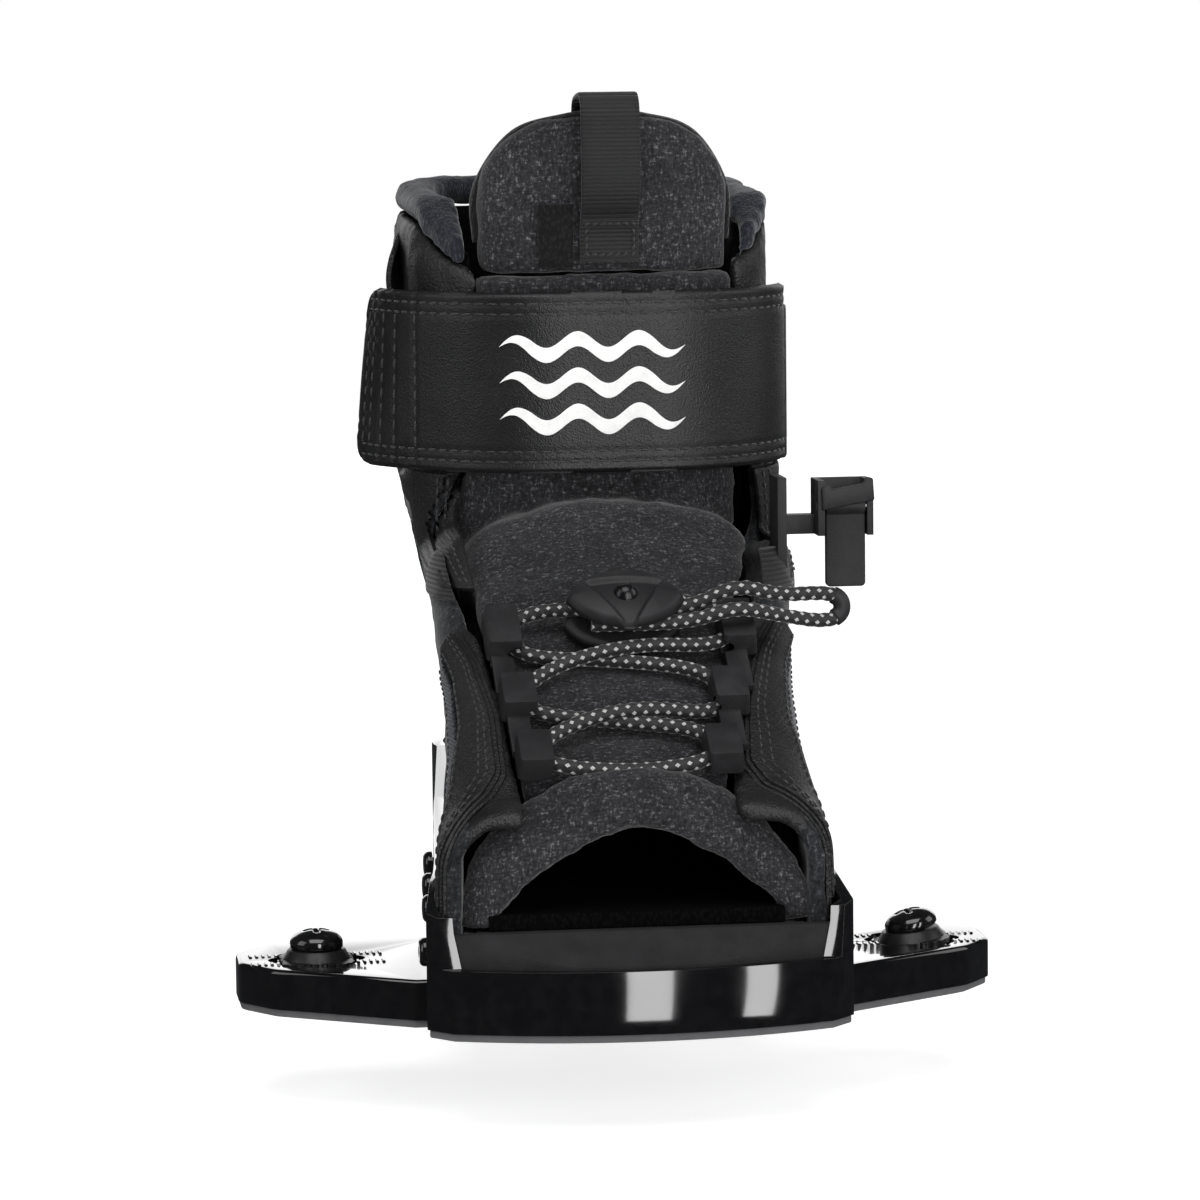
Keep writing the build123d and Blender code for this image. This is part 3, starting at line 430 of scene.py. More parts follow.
def node_copy(name, *names):
    """A merged copy of CAD nodes, ready to be worked on."""
    bm = bmesh.new()
    for node in names:
        bm.from_mesh(nodes[node].data)
    bmesh.ops.remove_doubles(bm, verts=bm.verts, dist=2e-5)
    mesh = bpy.data.meshes.new(name)
    bm.to_mesh(mesh)
    bm.free()
    mesh.materials.clear()
    piece = bpy.data.objects.new(name, mesh)
    bpy.context.scene.collection.objects.link(piece)
    return piece


def dress(piece, finish, body, slot, *replaced):
    piece.data.materials.clear()
    piece.data.materials.append(finish)
    return hang(piece, body, slot, *replaced)


def hang(piece, body, slot, *replaced):
    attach(piece, body)
    if replaced:
        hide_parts(*replaced)
    return piece


def modify(piece, kind, **settings):
    modifier = piece.modifiers.new(kind.lower(), kind)
    for key, value in settings.items():
        setattr(modifier, key, value)
    return modifier


def softened(name, node, voxel, rounds=6, levels=0):
    """A CAD solid remeshed finely and smoothed, so that its edges turn round."""
    piece = node_copy(name, node)
    modify(piece, "REMESH", mode="VOXEL", voxel_size=voxel)
    modify(piece, "SMOOTH", factor=0.5, iterations=rounds)
    if levels:
        modify(piece, "SUBSURF", levels=levels, render_levels=levels)
    settle(piece)
    for face in piece.data.polygons:
        face.use_smooth = True
    return piece


def stuffed(piece, pressure, cap, frames=16, stiff=12):
    """Let the padding swell by cloth simulation; no point moves by more than cap."""
    before = [v.co.copy() for v in piece.data.vertices]
    cloth = modify(piece, "CLOTH")
    settings = cloth.settings
    settings.use_pressure = True
    settings.uniform_pressure_force = pressure
    settings.effector_weights.gravity = 0
    settings.tension_stiffness = settings.compression_stiffness = stiff
    settings.mass = 0.3
    cloth.point_cache.frame_start, cloth.point_cache.frame_end = 1, frames
    for step in range(1, frames + 1):
        bpy.context.scene.frame_set(step)
    settle(piece)
    bpy.context.scene.frame_set(1)
    for vertex, start in zip(piece.data.vertices, before):
        move = vertex.co - start
        if move.length > cap:
            vertex.co = start + move * (cap / move.length)
    return piece


def rippled(piece, depth, size, seed=0.0):
    """Push a soft surface in and out a little, as cloth over foam is never quite even."""
    shift = Vector((seed, seed, seed))
    placed = [(v.co.copy(), v.normal.copy()) for v in piece.data.vertices]
    for vertex, (place, away) in zip(piece.data.vertices, placed):
        vertex.co = place + away * depth * noise.fractal(place / size + shift, 0.6, 2.0, 3)
    return piece


def bevelled(name, node, width, finish, body, slot, steps=3, angle=32):
    """A hard CAD part with the small edge radii that a mould leaves."""
    piece = node_copy(name, node)
    bm = bmesh.new()
    bm.from_mesh(piece.data)
    bmesh.ops.dissolve_limit(bm, angle_limit=math.radians(0.6), verts=bm.verts, edges=bm.edges)
    bm.to_mesh(piece.data)
    bm.free()
    modify(piece, "BEVEL", width=width, segments=steps, limit_method="ANGLE", angle_limit=math.radians(angle),
           harden_normals=False, use_clamp_overlap=True)
    settle(piece)
    piece.data.shade_smooth()
    piece.data.set_sharp_from_angle(angle=math.radians(38))
    return dress(piece, finish, body, slot, node)


def grid_faces(rows, columns, wrap=False):
    last = columns if wrap else columns - 1
    return [
        (r * columns + c, r * columns + (c + 1) % columns,
         (r + 1) * columns + (c + 1) % columns, (r + 1) * columns + c)
        for r in range(rows - 1)
        for c in range(last)
    ]


def smooth_line(points, count):
    """Count points evenly along a smooth line through the given ones."""
    points = [Vector(p) for p in points]
    dense = []
    for k in range(len(points) - 1):
        a, b = points[max(k - 1, 0)], points[k]
        c, d = points[k + 1], points[min(k + 2, len(points) - 1)]
        for step in range(24):
            t = step / 24
            dense.append(0.5 * (2 * b + (c - a) * t + (2 * a - 5 * b + 4 * c - d) * t ** 2
                                + (3 * b - a - 3 * c + d) * t ** 3))
    dense.append(points[-1])
    return even_line(dense, count)


def even_line(points, count):
    lengths = [0.0]
    for a, b in zip(points, points[1:]):
        lengths.append(lengths[-1] + (b - a).length)
    out, k = [], 0
    for step in range(count):
        at = lengths[-1] * step / (count - 1)
        while k < len(points) - 2 and lengths[k + 1] < at:
            k += 1
        part = (at - lengths[k]) / max(lengths[k + 1] - lengths[k], 1e-9)
        out.append(points[k].lerp(points[k + 1], min(part, 1.0)))
    return out


def line_length(points):
    return sum((b - a).length for a, b in zip(points, points[1:]))


def frames_along(points):
    """Tangent, side and up at each point of a line, without sudden turns."""
    tangents = [
        (points[min(k + 1, len(points) - 1)] - points[max(k - 1, 0)]).normalized()
        for k in range(len(points))
    ]
    up = Vector((0, 0, 1)) if abs(tangents[0].z) < 0.9 else Vector((0, 1, 0))
    out = []
    for tangent in tangents:
        up = (up - tangent * up.dot(tangent)).normalized()
        out.append((tangent, tangent.cross(up), up))
    return out


def swept(name, points, section, finish, closed_ends=True):
    """Sweep a closed section, given as (side, up) pairs or as a function of the step, along a line."""
    rows = []
    for k, (point, (_, side, up)) in enumerate(zip(points, frames_along(points))):
        outline = section(k) if callable(section) else section
        rows.append([point + side * a + up * b for a, b in outline])
    count = len(rows[0])
    verts = [p for row in rows for p in row]
    faces = grid_faces(len(rows), count, wrap=True)
    if closed_ends:
        faces += [tuple(range(count)), tuple(reversed(range(len(verts) - count, len(verts))))]
    return outward(new_piece(name, verts, faces, finish))


def round_section(radius, count=12):
    return [(radius * math.cos(2 * math.pi * k / count), radius * math.sin(2 * math.pi * k / count))
            for k in range(count)]


# ---------------------------------------------------------------- the boot's skin, found on the CAD pieces
def skin_of(*names):
    bm = bmesh.new()
    for name in names:
        bm.from_mesh(nodes[name].data)
    bmesh.ops.triangulate(bm, faces=bm.faces)
    tree = BVHTree.FromBMesh(bm)
    bm.free()
    return tree


UPPER = skin_of("quarter_left", "quarter_right", "tongue_lower", "heel_panel")


def centre_x(y, z):
    """The boot's centre line leans to +X towards the heel and the leg."""
    return -0.0005 + 0.05 * (y + 0.040) + 0.025 * max(0.0, z - 0.045)


def over_skin(dx, y, lift, skin=None):
    """The point above the foot's skin, a distance from the centre line; past the edge, from the side."""
    skin = skin or UPPER
    z = 0.07 + 0.65 * (y + 0.02)
    x = centre_x(y, z) + dx
    hit = skin.ray_cast(Vector((x, y, 0.3)), Vector((0, 0, -1)))
    if hit[0] is None:
        return Vector((x, y, z + lift))
    return hit[0] + hit[1] * lift


def around_skin(angle, y, lift, skin=None, core_z=0.05):
    """The point on the skin met from outside, at an angle from straight up, in the upright plane at y."""
    skin = skin or UPPER
    a = math.radians(angle)
    out = Vector((math.sin(a), 0, math.cos(a)))
    core = Vector((centre_x(y, core_z), y, core_z))
    hit = skin.ray_cast(core + out * 0.25, -out)
    if hit[0] is None:
        return core + out * 0.045
    return hit[0] + out * lift


def from_front(x, z, lift, skin=None):
    skin = skin or UPPER
    hit = skin.ray_cast(Vector((x, -0.2, z)), Vector((0, 1, 0)))
    if hit[0] is None:
        return None
    return hit[0] + hit[1] * lift


# ---------------------------------------------------------------- stitches
def stitch_tree():
    """Geometry nodes: short threads at an even pitch along a line."""
    tree = bpy.data.node_groups.new("stitches_on_line", "GeometryNodeTree")
    face = tree.interface
    face.new_socket("Line", in_out="INPUT", socket_type="NodeSocketGeometry")
    for name, value in (("Pitch", 0.0036), ("Length", 0.0027), ("Thickness", 0.00032)):
        face.new_socket(name, in_out="INPUT", socket_type="NodeSocketFloat").default_value = value
    face.new_socket("Thread", in_out="INPUT", socket_type="NodeSocketMaterial")
    face.new_socket("Stitches", in_out="OUTPUT", socket_type="NodeSocketGeometry")
    add, link = tree.nodes.new, tree.links.new
    start, end = add("NodeGroupInput"), add("NodeGroupOutput")
    curve, even = add("GeometryNodeMeshToCurve"), add("GeometryNodeCurveToPoints")
    even.mode = "LENGTH"
    ball = add("GeometryNodeMeshUVSphere")
    ball.inputs["Segments"].default_value = 6
    ball.inputs["Rings"].default_value = 5
    ball.inputs["Radius"].default_value = 1.0
    size, half = add("ShaderNodeCombineXYZ"), add("ShaderNodeMath")
    half.operation = "MULTIPLY"
    half.inputs[1].default_value = 0.5
    shape, put = add("GeometryNodeTransform"), add("GeometryNodeInstanceOnPoints")
    turn = add("FunctionNodeAlignRotationToVector")
    turn.axis = "Z"
    real, paint, flat = (
        add("GeometryNodeRealizeInstances"), add("GeometryNodeSetMaterial"), add("GeometryNodeSetShadeSmooth")
    )
    link(start.outputs["Line"], curve.inputs[0])
    link(curve.outputs[0], even.inputs["Curve"])
    link(start.outputs["Pitch"], even.inputs["Length"])
    link(start.outputs["Length"], half.inputs[0])
    link(start.outputs["Thickness"], size.inputs[0])
    link(start.outputs["Thickness"], size.inputs[1])
    link(half.outputs[0], size.inputs[2])
    link(ball.outputs["Mesh"], shape.inputs["Geometry"])
    link(size.outputs[0], shape.inputs["Scale"])
    link(even.outputs["Points"], put.inputs["Points"])
    link(shape.outputs[0], put.inputs["Instance"])
    link(even.outputs["Tangent"], turn.inputs["Vector"])
    link(turn.outputs[0], put.inputs["Rotation"])
    link(put.outputs[0], real.inputs[0])
    link(real.outputs[0], flat.inputs[0])
    link(flat.outputs[0], paint.inputs[0])
    link(start.outputs["Thread"], paint.inputs["Material"])
    link(paint.outputs[0], end.inputs[0])
    return tree


STITCH_LINES = {}


def stitch(group, points, pitch=0.0036, length=0.0027, thickness=0.00032):
    """Remember a sewn line; sew() makes each group one piece."""
    if len(points) > 1:
        STITCH_LINES.setdefault((group, pitch, length, thickness), []).append([Vector(p) for p in points])


def sew(tree, finish):
    """Make the remembered lines into threads, one piece for each body and stitch size."""
    sockets = {s.name: s.identifier for s in tree.interface.items_tree if s.in_out == "INPUT"}
    for number, ((group, pitch, length, thickness), lines) in enumerate(STITCH_LINES.items()):
        verts, edges = [], []
        for line in lines:
            edges += [(len(verts) + k, len(verts) + k + 1) for k in range(len(line) - 1)]
            verts += line
        mesh = bpy.data.meshes.new("sewn_lines")
        mesh.from_pydata([tuple(v) for v in verts], edges, [])
        piece = bpy.data.objects.new(f"stitches_{group[0]}_{number}", mesh)
        bpy.context.scene.collection.objects.link(piece)
        threads = piece.modifiers.new("threads", "NODES")
        threads.node_group = tree
        threads[sockets["Pitch"]] = pitch
        threads[sockets["Length"]] = length
        threads[sockets["Thickness"]] = thickness
        threads[sockets["Thread"]] = finish
        settle(piece)
        hang(piece, group[0], group[1])


# ---------------------------------------------------------------- finishes
GLOSS = gloss_plastic()
NEOPRENE = heather("heather_neoprene", (0.010, 0.010, 0.011), (0.036, 0.036, 0.039), (0.17, 0.17, 0.175))
TEXTILE = heather("heather_textile", (0.007, 0.008, 0.009), (0.026, 0.028, 0.031), (0.10, 0.105, 0.11), 1200)
HIDE = leather("black_leather", (0.0085, 0.0085, 0.009), 0.46, 1500, 0.00022)
STRAP_HIDE = leather("satin_strap_leather", (0.0075, 0.0075, 0.008), 0.38, 2100, 0.00010)
# The lining's colour is painted far darker than the other black cloth. It is the lining's own black plus painted
# shade for the inside of the toe opening.
LINING_PAINTED_SHADE = knit("mesh_lining", (0.0012, 0.0012, 0.0013), (0.004, 0.004, 0.0042), 0.0, 0.06)
RIM_KNIT = knit("rim_knit", (0.010, 0.012, 0.018), (0.035, 0.040, 0.055))
STRIPE = webbing("blue_grey_tape", (0.016, 0.020, 0.027), 0.0008)
TAPE = webbing("black_webbing", (0.007, 0.007, 0.0075), 0.0011)
FOAM = foam("charcoal_foam", (0.017, 0.017, 0.018))
GASKET = rubber("grey_gasket", (0.075, 0.075, 0.078))
MOULDED = matte_plastic("matte_black_nylon", (0.014, 0.014, 0.0155))
BUTTON = matte_plastic("polished_button", (0.006, 0.006, 0.007), 0.16)
SCREW_PAINT = metal("gloss_black_screw", (0.006, 0.006, 0.006), 0.14, 0.3, 0.8)
WASHER_PAINT = metal("satin_black_washer", (0.012, 0.012, 0.013), 0.36, 0.3)
STEEL = metal("brushed_steel", (0.42, 0.42, 0.44), 0.3)
BAR_METAL = metal("satin_aluminium", (0.5, 0.5, 0.52), 0.38)
THREAD = thread("black_thread", (0.016, 0.016, 0.017))
FUZZ = heather("hook_and_loop", (0.004, 0.004, 0.004), (0.012, 0.012, 0.012), (0.03, 0.03, 0.03), 2400)
PRINT = rubber("white_print", (0.72, 0.72, 0.71))
BINDING_TAPE = knit("dark_binding", (0.004, 0.004, 0.0045), (0.014, 0.014, 0.015))
LACE = braided_lace()


# ---------------------------------------------------------------- chassis, footbed and screws
def make_chassis():
    bevelled("chassis_shell", "chassis", 1.5 * MM, GLOSS, "binding", "chassis")
    bevelled("gasket_edge", "base_gasket", 0.4 * MM, GASKET, "binding", "gasket", 2)
    bevelled("footbed_foam", "footbed", 0.8 * MM, FOAM, "binding", "foam")
    # The insole takes the lining's painted shade, so it reads black inside the toe opening.
    for name, finish in (("insole", LINING_PAINTED_SHADE), ("clip_pin", STEEL), ("lock_spring", STEEL)):
        paint_node(name, finish)
    for side in SIDE:
        paint_node(f"clamp_bar_{side}", BAR_METAL)
        paint_node(f"rail_screws_{side}", SCREW_PAINT)


def paint_node(name, finish):
    node = nodes[name]
    node.data.materials.clear()
    node.data.materials.append(finish)


def rib_tree():
    """Geometry nodes: a row of low grip ribs along a line."""
    tree = bpy.data.node_groups.new("grip_ribs", "GeometryNodeTree")
    face = tree.interface
    face.new_socket("Line", in_out="INPUT", socket_type="NodeSocketGeometry")
    face.new_socket("Pitch", in_out="INPUT", socket_type="NodeSocketFloat").default_value = 0.0012
    face.new_socket("Size", in_out="INPUT", socket_type="NodeSocketVector")
    face.new_socket("Plastic", in_out="INPUT", socket_type="NodeSocketMaterial")
    face.new_socket("Ribs", in_out="OUTPUT", socket_type="NodeSocketGeometry")
    add, link = tree.nodes.new, tree.links.new
    start, end = add("NodeGroupInput"), add("NodeGroupOutput")
    curve, even = add("GeometryNodeMeshToCurve"), add("GeometryNodeCurveToPoints")
    even.mode = "LENGTH"
    bar, put = add("GeometryNodeMeshCylinder"), add("GeometryNodeInstanceOnPoints")
    bar.inputs["Vertices"].default_value = 6
    bar.inputs["Radius"].default_value = 0.5
    bar.inputs["Depth"].default_value = 1.0
    lay, shape = add("GeometryNodeTransform"), add("GeometryNodeTransform")
    lay.inputs["Rotation"].default_value = (math.pi / 2, 0, 0)
    real, paint = add("GeometryNodeRealizeInstances"), add("GeometryNodeSetMaterial")
    link(start.outputs["Line"], curve.inputs[0])
    link(curve.outputs[0], even.inputs["Curve"])
    link(start.outputs["Pitch"], even.inputs["Length"])
    link(bar.outputs["Mesh"], lay.inputs["Geometry"])
    link(lay.outputs[0], shape.inputs["Geometry"])
    link(start.outputs["Size"], shape.inputs["Scale"])
    link(even.outputs["Points"], put.inputs["Points"])
    link(shape.outputs[0], put.inputs["Instance"])
    link(put.outputs[0], real.inputs[0])
    link(real.outputs[0], paint.inputs[0])
    link(start.outputs["Plastic"], paint.inputs["Material"])
    link(paint.outputs[0], end.inputs[0])
    return tree


def make_grip_ribs(tree):
    """Toothed tracks in the wings, beside each washer, that its teeth lock into."""
    sockets = {s.name: s.identifier for s in tree.interface.items_tree if s.in_out == "INPUT"}
    top = 12.0 * MM
    for name in SIDE:
        low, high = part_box(f"washer_{name}")
        middle = (low.x + high.x) / 2
        verts, edges = [], []
        for end in (-1, 1):
            start = middle + end * 10.0 * MM
            for row in (-5.6, 5.6):
                edges.append((len(verts), len(verts) + 1))
                verts += [(start, row * MM, top), (start + end * 6.4 * MM, row * MM, top)]
        mesh = bpy.data.meshes.new("tracks")
        mesh.from_pydata(verts, edges, [])
        piece = bpy.data.objects.new(f"grip_ribs_{name}", mesh)
        bpy.context.scene.collection.objects.link(piece)
        ribs = piece.modifiers.new("ribs", "NODES")
        ribs.node_group = tree
        ribs[sockets["Pitch"]] = 1.5 * MM
        ribs[sockets["Size"]] = (1.0 * MM, 2.6 * MM, 0.9 * MM)
        ribs[sockets["Plastic"]] = GLOSS
        settle(piece)
        hang(piece, "binding", "chassis")


def turned(name, profile, count, finish):
    """A closed solid of revolution about Z from (radius, height) pairs that begin and end on the axis."""
    verts = [Vector((0, 0, profile[0][1]))]
    rings = profile[1:-1]
    for radius, height in rings:
        for k in range(count):
            a = 2 * math.pi * k / count
            verts.append(Vector((radius * math.cos(a), radius * math.sin(a), height)))
    verts.append(Vector((0, 0, profile[-1][1])))
    faces = [(0, 1 + (k + 1) % count, 1 + k) for k in range(count)]
    for r in range(len(rings) - 1):
        for k in range(count):
            a, b = 1 + r * count, 1 + (r + 1) * count
            faces.append((a + k, a + (k + 1) % count, b + (k + 1) % count, b + k))
    last = 1 + (len(rings) - 1) * count
    faces += [(last + k, last + (k + 1) % count, len(verts) - 1) for k in range(count)]
    return outward(new_piece(name, verts, faces, finish))


def tilt(piece, at, angle):
    """Lean a piece sideways about a point on its axis, in its mesh."""
    turn = (piece.matrix_world.Translation(at) @ piece.matrix_world.Rotation(angle, 4, "Y")
            @ piece.matrix_world.Translation(-at))
    piece.data.transform(turn)


SCREW_LEAN = {"left": 0.0, "right": -14.0}
WASHER_LEAN = {"left": 0.0, "right": -7.0}


def make_screw(name):
    """Pan head with a cross recess, a plain neck and a threaded end."""
    low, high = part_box(f"screw_{name}")
    x, seat = (low.x + high.x) / 2, high.z - 5.2 * MM
    head, tip = high.z, low.z
    r, neck = 6.7 * MM, 3.3 * MM
    dome = [(r * math.sin(a), seat + 1.4 * MM + 3.6 * MM * math.cos(a)) for a in
            [math.radians(4 + 84 * k / 16) for k in range(17)]]
    profile = [(0, head - 0.2 * MM)] + dome + [(r, seat + 0.5 * MM), (r - 0.4 * MM, seat + 0.02 * MM)]
    profile += [(neck, seat), (neck, seat - 4.5 * MM), (3.0 * MM, seat - 4.8 * MM)]
    depth = seat - 5.4 * MM
    while depth > tip + 1.0 * MM:
        profile += [(3.0 * MM, depth), (2.6 * MM, depth - 0.5 * MM)]
        depth -= 1.0 * MM
    profile += [(2.4 * MM, tip + 0.05 * MM), (0, tip + 0.02 * MM)]
    screw = turned(f"screw_body_{name}", profile, 64, SCREW_PAINT)
    for vertex in screw.data.vertices:
        reach = math.hypot(vertex.co.x, vertex.co.y)
        if vertex.co.z > seat + 3.0 * MM:
            slot_x = max(0.0, 1 - abs(vertex.co.y) / (0.95 * MM)) * max(0.0, 1 - reach / (3.4 * MM))
            slot_y = max(0.0, 1 - abs(vertex.co.x) / (0.95 * MM)) * max(0.0, 1 - reach / (3.4 * MM))
            vertex.co.z -= min(1.0, 2.2 * max(slot_x, slot_y)) * 1.6 * MM
    screw.data.transform(screw.matrix_world.Translation((x, 0, 0)))
    tilt(screw, Vector((x, 0, seat)), math.radians(SCREW_LEAN[name]))
    hang(screw, f"mount_{name}", "screws", f"screw_{name}")


def make_washer(name):
    """Toothed washer: a stepped square foot under a sloping round top."""
    low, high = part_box(f"washer_{name}")
    x, base, top = (low.x + high.x) / 2, low.z, high.z
    count, rings = 96, []
    square = lambda a: min(9.15 / max(abs(math.cos(a)), abs(math.sin(a)), 0.01), 11.2) * MM
    for share, height, bore in ((1.0, base, 0), (1.0, base + 1.0 * MM, 0), (0.94, base + 1.2 * MM, 0),
                                (0.80, top - 0.3 * MM, 0), (0.76, top, 0), (0, top, 1), (0, base, 1)):
        ring = []
        for k in range(count):
            a = 2 * math.pi * k / count
            reach = 3.4 * MM if bore else share * (square(a) if height < base + 1.1 * MM else 9.15 * MM)
            tooth = 0.5 * MM if height < base + 1.1 * MM and not bore and math.sin(a * 28) > 0 else 0.0
            ring.append(Vector((x + (reach - tooth) * math.cos(a), (reach - tooth) * math.sin(a), height)))
        rings.append(ring)
    verts = [v for ring in rings for v in ring]
    faces = grid_faces(len(rings), count, wrap=True)
    faces += [((len(rings) - 1) * count + k, (len(rings) - 1) * count + (k + 1) % count, (k + 1) % count, k)
              for k in range(count)]
    washer = outward(new_piece(f"washer_body_{name}", verts, faces, WASHER_PAINT))
    washer.data.set_sharp_from_angle(angle=math.radians(30))
    tilt(washer, Vector((x, 0, base)), math.radians(WASHER_LEAN[name]))
    hang(washer, f"mount_{name}", "washers", f"washer_{name}")


# ---------------------------------------------------------------- padded pieces of the boot
def make_quarter(name):
    """One side of the upper: heather textile below, leather on the cuff."""
    side = SIDE[name]
    piece = softened(f"upper_side_{name}", f"quarter_{name}", 1.7 * MM, 5)
    rippled(piece, 0.7 * MM, 30 * MM, 3.0 * side)
    rippled(piece, 0.25 * MM, 6 * MM, 7.0 * side)
    piece.data.materials.clear()
    piece.data.materials.append(TEXTILE)
    piece.data.materials.append(HIDE)
    for face in piece.data.polygons:
        middle = face.center
        on_cuff = middle.z > 122 * MM
        by_throat = middle.y < 0.024 and abs(middle.x - centre_x(middle.y, middle.z)) < 41.5 * MM
        face.material_index = 1 if on_cuff or by_throat else 0
    hang(piece, "binding", "textile", f"quarter_{name}")


def make_heel_panel():
    piece = softened("heel_counter", "heel_panel", 1.9 * MM, 6)
    rippled(piece, 0.8 * MM, 28 * MM, 5.0)
    dress(piece, HIDE, "binding", "leather", "heel_panel")


def make_liner():
    piece = softened("padded_liner", "liner", 2.2 * MM, 6)
    rippled(piece, 0.6 * MM, 18 * MM, 2.0)
    # The liner takes the lining's painted shade.
    dress(piece, LINING_PAINTED_SHADE, "binding", "lining", "liner")


def make_collar(name):
    piece = softened(f"collar_rim_{name}", f"collar_{name}", 2.4 * MM, 8)
    stuffed(piece, 3.0, 1.2 * MM)
    modify(piece, "SUBSURF", levels=1, render_levels=1)
    settle(piece)
    rippled(piece, 0.5 * MM, 9 * MM, 4.0)
    dress(piece, RIM_KNIT, "binding", "knit", f"collar_{name}")


def make_fold():
    """The loose front corner of the cuff's leather, which curls outwards above the strap."""
    rows = []
    for k in range(13):
        up = k / 12
        row = []
        for j in range(9):
            out = j / 8
            x = -40.5 - 3.6 * out - 1.2 * math.sin(math.pi * up)
            y = 121 - 7 * out + 9 * (1 - out) * up
            z = 170 + 19 * up - 5.5 * out * up
            row.append(Vector((x, y, z)) * MM)
        rows.append(row)
    verts = [p for row in rows for p in row]
    piece = new_piece("cuff_fold_left", verts, grid_faces(13, 9), HIDE)
    modify(piece, "SOLIDIFY", thickness=1.5 * MM, offset=0)
    modify(piece, "BEVEL", width=0.3 * MM, segments=2)
    settle(piece)
    hang(piece, "binding", "leather")


def make_tongue_top():
    piece = softened("tongue_pad_top", "tongue_upper", 2.2 * MM, 7)
    stuffed(piece, 3.0, 1.4 * MM)
    modify(piece, "SUBSURF", levels=1, render_levels=1)
    settle(piece)
    rippled(piece, 0.5 * MM, 16 * MM, 1.0)
    dress(piece, NEOPRENE, "tongue_top", "neoprene", "tongue_upper")
    low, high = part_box("tongue_upper")
    middle, half, top = (low.x + high.x) / 2, (high.x - low.x) / 2, high.z
    edge = [(half, -34), (half, -20), (half - 9 * MM, -6.5), (half - 22 * MM, -2.2), (0, -1.2)]
    edge = edge[:-1] + [(0, -1.2)] + [(-x, z) for x, z in reversed(edge[:-1])]
    line = smooth_line([(middle + x * 0.985, 130.5 * MM - math.sqrt((56.5 * MM) ** 2 - x ** 2), top + z * MM)
                        for x, z in edge], 90)
    tape = swept("tongue_binding", line, [(1.9 * MM * math.cos(a), 2.6 * MM * math.sin(a)) for a in
                                          [2 * math.pi * k / 14 for k in range(14)]], BINDING_TAPE)
    hang(tape, "tongue_top", "neoprene")


def make_tongue_lower(lace_line):
    """The foam tongue under the laces, pressed in where they cross it."""
    piece = softened("tongue_pad_lower", "tongue_lower", 1.9 * MM, 6)
    rippled(piece, 0.8 * MM, 22 * MM, 6.0)
    rippled(piece, 0.25 * MM, 5 * MM, 9.0)
    laces = KDTree(160)
    for k, point in enumerate(even_line(lace_line, 160)):
        laces.insert(point, k)
    laces.balance()
    placed = [(v.co.copy(), v.normal.copy()) for v in piece.data.vertices]
    for vertex, (place, away) in zip(piece.data.vertices, placed):
        near = laces.find(place)[2]
        vertex.co = place - away * 1.2 * MM * math.exp(-(near / (4.0 * MM)) ** 2)
    dress(piece, NEOPRENE, "binding", "neoprene", "tongue_lower")


ARCH_IN = [
    (-35.5, 25.8), (-34.5, 30), (-29, 36), (-20, 42), (-10, 47.5), (-1.5, 50),
    (8, 48.5), (19, 43), (29, 36), (36, 30), (38, 25.8),
]
ARCH_OUT = [
    (-43.5, 25.8), (-43, 33), (-39, 44), (-30, 54), (-16, 61), (-1, 63.5),
    (14, 61), (27, 54), (36, 44), (42, 34), (43.5, 25.8),
]


def make_toe_roll():
    """A soft funnel that arches over the toes, its edge rolled under."""
    count, around = 90, 40
    inner = smooth_line([(x * MM, -44.5 * MM, z * MM) for x, z in ARCH_IN], count)
    outer = smooth_line([(x * MM, -36.5 * MM, z * MM) for x, z in ARCH_OUT], count)
    verts = []
    for k in range(count):
        along = inner[min(k + 1, count - 1)] - inner[max(k - 1, 0)]
        across = (outer[k] - inner[k])
        thick = along.cross(across).normalized()
        reach, way = across.length / 2, across.normalized()
        middle = (inner[k] + outer[k]) / 2
        for j in range(around):
            a = 2 * math.pi * j / around
            fat = 4.3 * MM * (1 + 0.12 * math.cos(a))
            p = middle + way * reach * math.copysign(abs(math.cos(a)) ** 0.8, -math.cos(a))
            verts.append(p + thick * fat * math.sin(a))
    faces = grid_faces(count, around, wrap=True)
    faces += [tuple(range(around)), tuple(reversed(range(len(verts) - around, len(verts))))]
    piece = outward(new_piece("toe_opening_roll", verts, faces, NEOPRENE))
    stuffed(piece, 2.0, 0.8 * MM, 12)
    modify(piece, "SUBSURF", levels=1, render_levels=1)
    settle(piece)
    rippled(piece, 0.7 * MM, 12 * MM, 8.0)
    rippled(piece, 0.25 * MM, 4 * MM, 2.0)
    dress(piece, NEOPRENE, "binding", "neoprene", "toe_roll")


# ---------------------------------------------------------------- leather and tape laid on the skin
def patch(name, rows, thickness, finish, body, slot, *replaced, edge=0.35):
    """A sheet through equal rows of points, given a thickness and soft edges."""
    columns = len(rows[0])
    piece = new_piece(name, [p for row in rows for p in row], grid_faces(len(rows), columns), finish)
    piece.data.update()
    away = Vector((0, 0, 0.07))
    flip = sum(
        (f.normal.dot(f.center - away) > 0) - (f.normal.dot(f.center - away) < 0) for f in piece.data.polygons
    )
    if flip < 0:
        piece.data.flip_normals()
    modify(piece, "SMOOTH", factor=0.5, iterations=2)
    modify(piece, "SOLIDIFY", thickness=thickness, offset=-1)
    modify(piece, "BEVEL", width=edge * thickness, segments=3, limit_method="ANGLE",
           angle_limit=math.radians(50))
    settle(piece)
    piece.data.shade_smooth()
    return hang(piece, body, slot, *replaced)


def table(points, at):
    """Straight-line look-up in (key, value) pairs."""
    for (a, low), (b, high) in zip(points, points[1:]):
        if at <= b:
            return low + (high - low) * max(0.0, (at - a) / (b - a))
    return points[-1][1]


def core_height(y):
    """Height of the foot's core, 42 mm under the instep."""
    return (18.5 + 0.66 * (y / MM + 36)) * MM


def facing_point(side, angle, y, lift):
    return around_skin(side * angle, y, lift, core_z=core_height(y))


